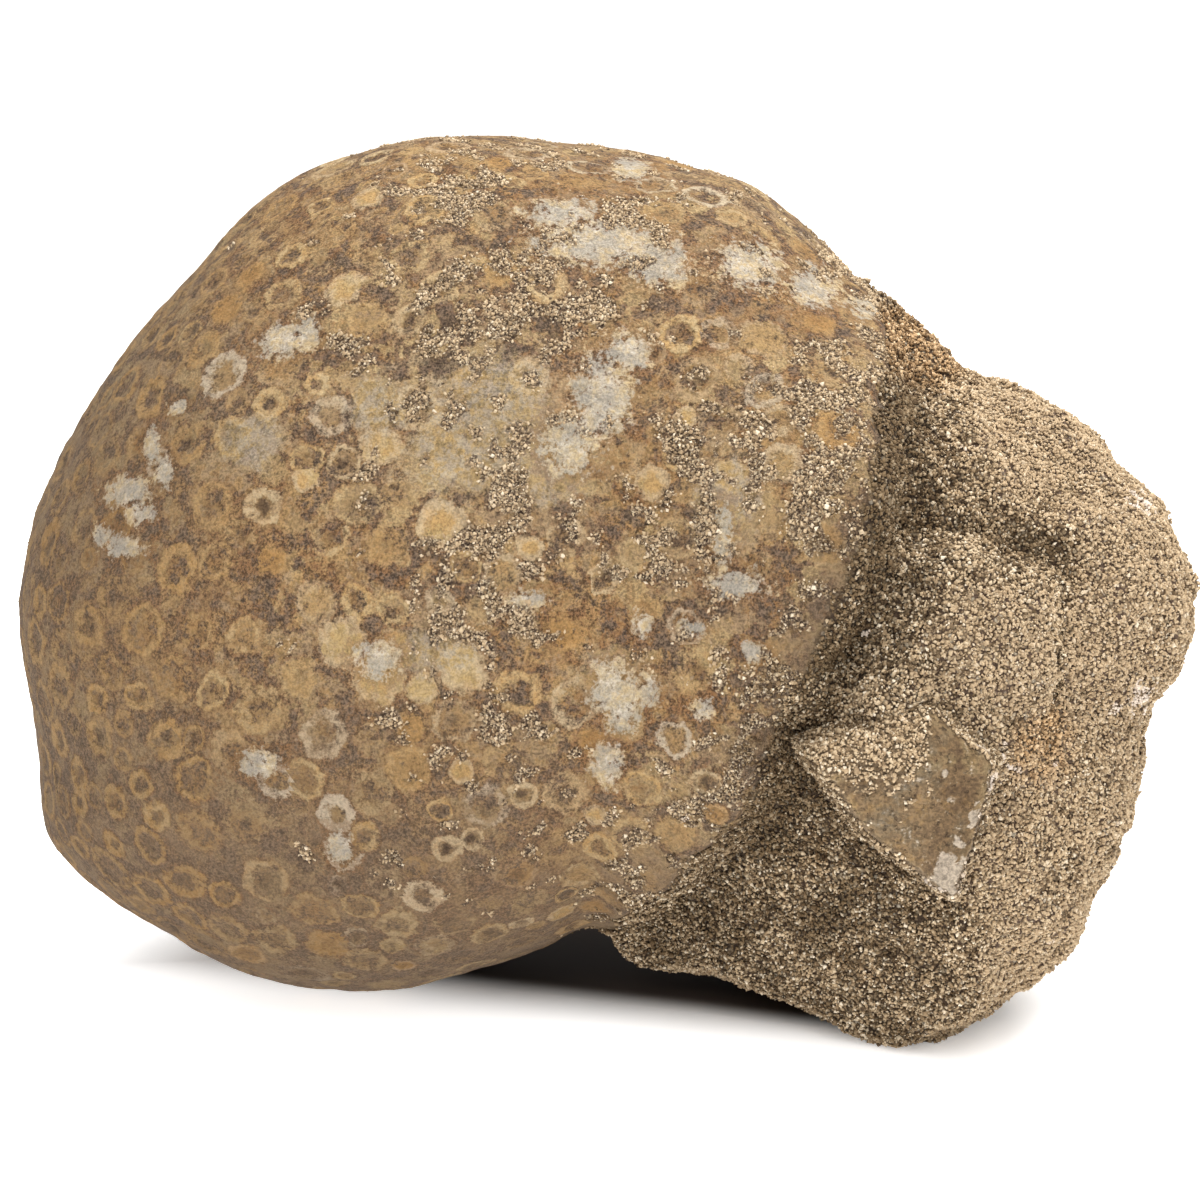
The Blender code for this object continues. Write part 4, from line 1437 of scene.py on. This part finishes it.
# %% Rusty and pale places
RUSTY_PATCHES = ((50.5, 33.5, 3.6, 3.4), (38.0, 82.0, 6.0, 4.0))
RUSTY_SHARE = 2.0
RUSTY_LAYERS = ((0.35, 8.0, 62), (0.2, 2.5, 66))
SLAB_GREY = 0.45
PALE_PATCHES = (
    (64.1, 38.3, 3.2, 2.4), (66.0, 62.0, 2.0, 2.0), (49.3, 30.6, 3.6, 0.7), (46.0, 33.5, 1.2, 1.6),
)
PALE_LAYERS = ((1.0, 1.5, 69),)
PALE_SPAN = (0.75, 1.0)
PALE_SHARE = 0.8

on_slab = smooth_step(inside_corners(stone[:, 0], stone[:, 1], SLAB), *SLAB_BEVEL) * front
warm = RUSTY_SHARE * blobs(stone, RUSTY_PATCHES) + relief(stone, RUSTY_LAYERS) - SLAB_GREY * on_slab
pale = PALE_SHARE * smooth_step(blobs(stone, PALE_PATCHES) + relief(stone, PALE_LAYERS), *PALE_SPAN)
print((warm > 0.5).sum(), "points are rusty and", (pale > 0.4).sum(), "are pale")

# %% Grains on the sandstone
SAND_PIECES = 4
SAND_COUNT = 24000
SAND_SIZES = (0.18, 0.32)
SAND_SEED = 70
SAND_FROM = (0.3, 0.8)
CLUMP_LIFT = 0.24
# None are wasted under the shard, and few behind.
SHARD_COVERS = 7.0
BEHIND_SHARE = 0.25

seen = BEHIND_SHARE + (1.0 - BEHIND_SHARE) * front
open_air = (world[:, 2] > 0.0) * (np.linalg.norm(stone - SHARD_MIDDLE, axis=1) >= SHARD_COVERS)
sand_share = smooth_step(sandy, *SAND_FROM) * seen * open_air
sands = [
    thrown_grains(
        f"sand_{number + 1}", SAND_COUNT, SAND_SIZES, CLUMP_LIFT, (stone, stone_faces), sand_share,
        SAND_SEED + number, {"dim": dim, "warm": warm, "pale": pale},
    )
    for number in range(SAND_PIECES)
]

# %% Grains on the shard
SHARD_SAND_COUNT = 9000
SHARD_SHOWS = 41.0
SHARD_FOOT_SHARE = 0.4
# Grains on the shard's sides that turn away from the front get painted shade.
SHARD_DIM = (0.2, 0.6)
SHARD_DIM_LAYERS = ((0.2, 3.0, 67),)
SHARD_WARM_LAYERS = ((0.2, 3.0, 68),)

shard_dim = 0.05 + 0.5 * (1.0 - smooth_step(shard_normal[:, 2], *SHARD_DIM))
shard_dim += relief(shard_stone, SHARD_DIM_LAYERS)
shard_warm = relief(shard_stone, SHARD_WARM_LAYERS) - 0.2
shard_share = (1.0 - bare) * (shard_stone[:, 2] > SHARD_SHOWS)
high_up = smooth_step(shard_stone[:, 1], *SHARD_THINS)
shard_share *= SHARD_FOOT_SHARE + (1.0 - SHARD_FOOT_SHARE) * high_up
sands.append(thrown_grains(
    "sand_on_shard", SHARD_SAND_COUNT, SAND_SIZES, CLUMP_LIFT, (shard_stone, shard_faces), shard_share,
    SAND_SEED + SAND_PIECES, {"dim": shard_dim, "warm": shard_warm, "pale": 0.7 * chip},
))

# %% Grains on the coral
CORAL_SAND_COUNT = 19500
CORAL_SAND_SIZES = (0.14, 0.28)
CORAL_LIFT = 0.04
CORAL_SAND_FROM = (0.2, 0.8)
CORAL_DIM_LAYERS = ((0.25, 4.0, 71),)
CORAL_WARM_LAYERS = ((0.3, 5.0, 72),)
# Beside the valley they get painted shade: the middle past the edge, the width, and up to which height.
BESIDE = (-1.0, 5.0)
BESIDE_SPAN = (-75.0, -50.0)

beside = hill(past, *BESIDE) * smooth_step(-stone[:, 1], *BESIDE_SPAN)
coral_dim = 0.05 + relief(stone, CORAL_DIM_LAYERS) + 0.6 * beside
coral_warm = relief(stone, CORAL_WARM_LAYERS)
coral_share = smooth_step(crust, *CORAL_SAND_FROM) * seen * (world[:, 2] > 0.0)
sands.append(thrown_grains(
    "sand_on_coral", CORAL_SAND_COUNT, CORAL_SAND_SIZES, CORAL_LIFT, (stone, stone_faces), coral_share,
    SAND_SEED + SAND_PIECES + 1, {"dim": coral_dim, "warm": coral_warm, "pale": pale},
))


# %% The grains' finish
def grain_finish():
    """Each grain's own tint of sand, made warmer or greyer by where it sits, with painted light and shade.
    """
    shader = Shader("sand_grain")
    mix, step = shader.mix, shader.step
    tint, warm, dim = shader.read("tint"), shader.read("warm"), shader.read("dim")
    colour = shader.ramp(tint, SAND_STOPS)
    colour = mix(step(warm, 0.1, 0.9) * 0.7, colour, colour * (1.0, 0.82, 0.62))
    colour = mix(step(warm, 0.0, -0.5) * 0.7, colour, colour * (0.98, 1.0, 1.03))
    # Painted light where the number is below 0, and painted shade above it, stronger on darker grains.
    colour = mix(step(dim, 0.35, -0.4) * 0.55, colour, SAND_LIT)
    darkened = step(dim + (0.5 - tint) * 0.7, 0.0, 1.0)
    colour = mix(darkened, colour, colour * (0.37, 0.335, 0.285))
    colour = mix(shader.read("pale"), colour, PALE_GRAIN)
    height = (shader.noise(shader.place(), 0.2, 1.0) - 0.5) * 0.05
    return shader.surface(colour, 0.85, shader.bump(height))


sand = grain_finish()
for thing in sands:
    thing.data.materials.append(sand)
print(sum(len(thing.data.polygons) for thing in sands), "triangles of grains in", len(sands), "pieces")

# %% [markdown]
# ## Fixing the pieces to the part
#
# The stone doesn't move, so everything rides on its one body. The coral head and the shard stand in for the
# plain solid, which stays hidden for collision.

# %% Bodies
for thing in (coral_head, shard, *sands):
    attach(thing, "root")
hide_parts(NODE)
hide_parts(NODE)
print(2 + len(sands), "pieces ride on the stone's body")

# %% [markdown]
# ## The floor
#
# The floor is a white sweep that curves up far behind, so no horizon shows. Paper greys where the lamps
# don't reach, so away from the stone it glows a little by itself. Between the stone's feet a brown shadow is
# painted on it.

# %% The sweep
SWEEP_WIDE = 8.0
SWEEP_NEAR = -3.0
SWEEP_TURN = 2.5
SWEEP_RADIUS = 1.5
SWEEP_STEPS = 17


def sweep_points():
    """A profile carried across: flat, then a quarter circle up at its far end."""
    angle = np.linspace(0.0, math.pi / 2.0, SWEEP_STEPS)
    depth = np.concatenate([[SWEEP_NEAR], SWEEP_TURN + SWEEP_RADIUS * np.sin(angle)])
    height = np.concatenate([[0.0], SWEEP_RADIUS * (1.0 - np.cos(angle))])
    side = np.array([-SWEEP_WIDE / 2.0, SWEEP_WIDE / 2.0])
    points = np.stack([
        np.repeat(side, len(depth)), np.tile(depth, 2), np.tile(height, 2),
    ], axis=1)
    row = np.arange(len(depth) - 1)
    faces = np.stack([row, row + len(depth), row + len(depth) + 1, row + 1], axis=1)
    return points, faces


floor = piece("floor", *sweep_points())
print("the floor is", SWEEP_WIDE, "m wide")

# %% The paper
# The fronts of both feet lie on one line, y = -slope * x + offset, in millimetres.
FEET_LINE = (0.37, -10.0)
# Where the paper starts to glow and where it glows in full: millimetres ahead of that line, and in half
# lengths of the stone from its middle.
AHEAD_SPAN = (-7.0, 12.0)
GLOW_SPAN = (0.55, 1.00)
GLOW_STRENGTH = 0.8
# Where the painted shadow starts and where it is whole, counted in the same two ways.
SHADOW_SPAN = (0.75, 0.45)
SHADOW_AHEAD = (0.0, -8.0)


def paper_finish():
    """White paper, lit a little from behind where it is far from the stone, so that it never greys."""
    shader = Shader("white_paper")
    mix, step = shader.mix, shader.step
    place = shader.place()
    half_lengths = place * (2.0 * MM / (high[0] - low[0]), 2.0 * MM / (high[1] - low[1]), 0.0)
    far = shader.make("ShaderNodeVectorMath", {"operation": "LENGTH"}, {0: half_lengths}, "Value")
    across, along, _ = shader.split(place)
    ahead = FEET_LINE[1] - FEET_LINE[0] * across - along
    glow = shader.make("ShaderNodeMath", {"operation": "MAXIMUM"}, {
        0: step(far, *GLOW_SPAN), 1: step(ahead, *AHEAD_SPAN),
    })
    white = mix(shader.noise(place, 2.0), (0.90, 0.90, 0.90, 1.0), (0.94, 0.94, 0.94, 1.0))
    # A brown shadow painted on the paper between the stone's feet.
    white = mix(step(far, *SHADOW_SPAN) * step(ahead, *SHADOW_AHEAD), white, PAINTED_SHADOW)
    inputs = {"Base Color": white, "Roughness": 0.9, "Emission Strength": GLOW_STRENGTH,
              "Emission Color": mix(glow, (0.0, 0.0, 0.0, 1.0), (1.0, 1.0, 1.0, 1.0))}
    shader.show(shader.make("ShaderNodeBsdfPrincipled", {}, inputs))
    return shader.material


floor.data.materials.append(paper_finish())
print("the paper's finish has", len(floor.data.materials[0].node_tree.nodes), "nodes")

# %% [markdown]
# ## Light
#
# A broad lamp overhead and a little behind gives the soft shadow under the stone, and a dimmer one in front
# fills its face. A pale room lights the rest, so that no side is ever black.

# %% Lamps: name, place in metres, watts and colour
LAMP_SIZE = 0.8
LAMP_AIM = np.array([0.0, 0.0, 0.05])
LAMPS = (
    ("overhead", (0.20, 0.10, 0.80), 12.2, (1.0, 0.99, 0.97)),
    ("front_fill", (-0.15, -0.85, 0.85), 8.7, (1.0, 0.99, 0.98)),
)
ROOM_LIGHT = 0.25

for name, place, watts, colour in LAMPS:
    data = bpy.data.lights.new(name, "AREA")
    data.shape = "DISK"
    data.size = LAMP_SIZE
    data.energy = watts
    data.color = colour
    lamp = bpy.data.objects.new(name, data)
    scene.collection.objects.link(lamp)
    lamp.location = place
    aim = LAMP_AIM - place
    aim /= np.linalg.norm(aim)
    lamp.rotation_euler = (math.acos(-aim[2]), 0.0, math.atan2(aim[1], aim[0]) - math.pi / 2.0)
room = bpy.data.worlds.new("white_room")
room.use_nodes = True
room.node_tree.nodes["Background"].inputs["Color"].default_value = (1.0, 1.0, 1.0, 1.0)
room.node_tree.nodes["Background"].inputs["Strength"].default_value = ROOM_LIGHT
scene.world = room
scene.view_settings.view_transform = "Standard"
print(len(LAMPS), "lamps in a white room")

# %% The dressed stone
print("the scene is set up")
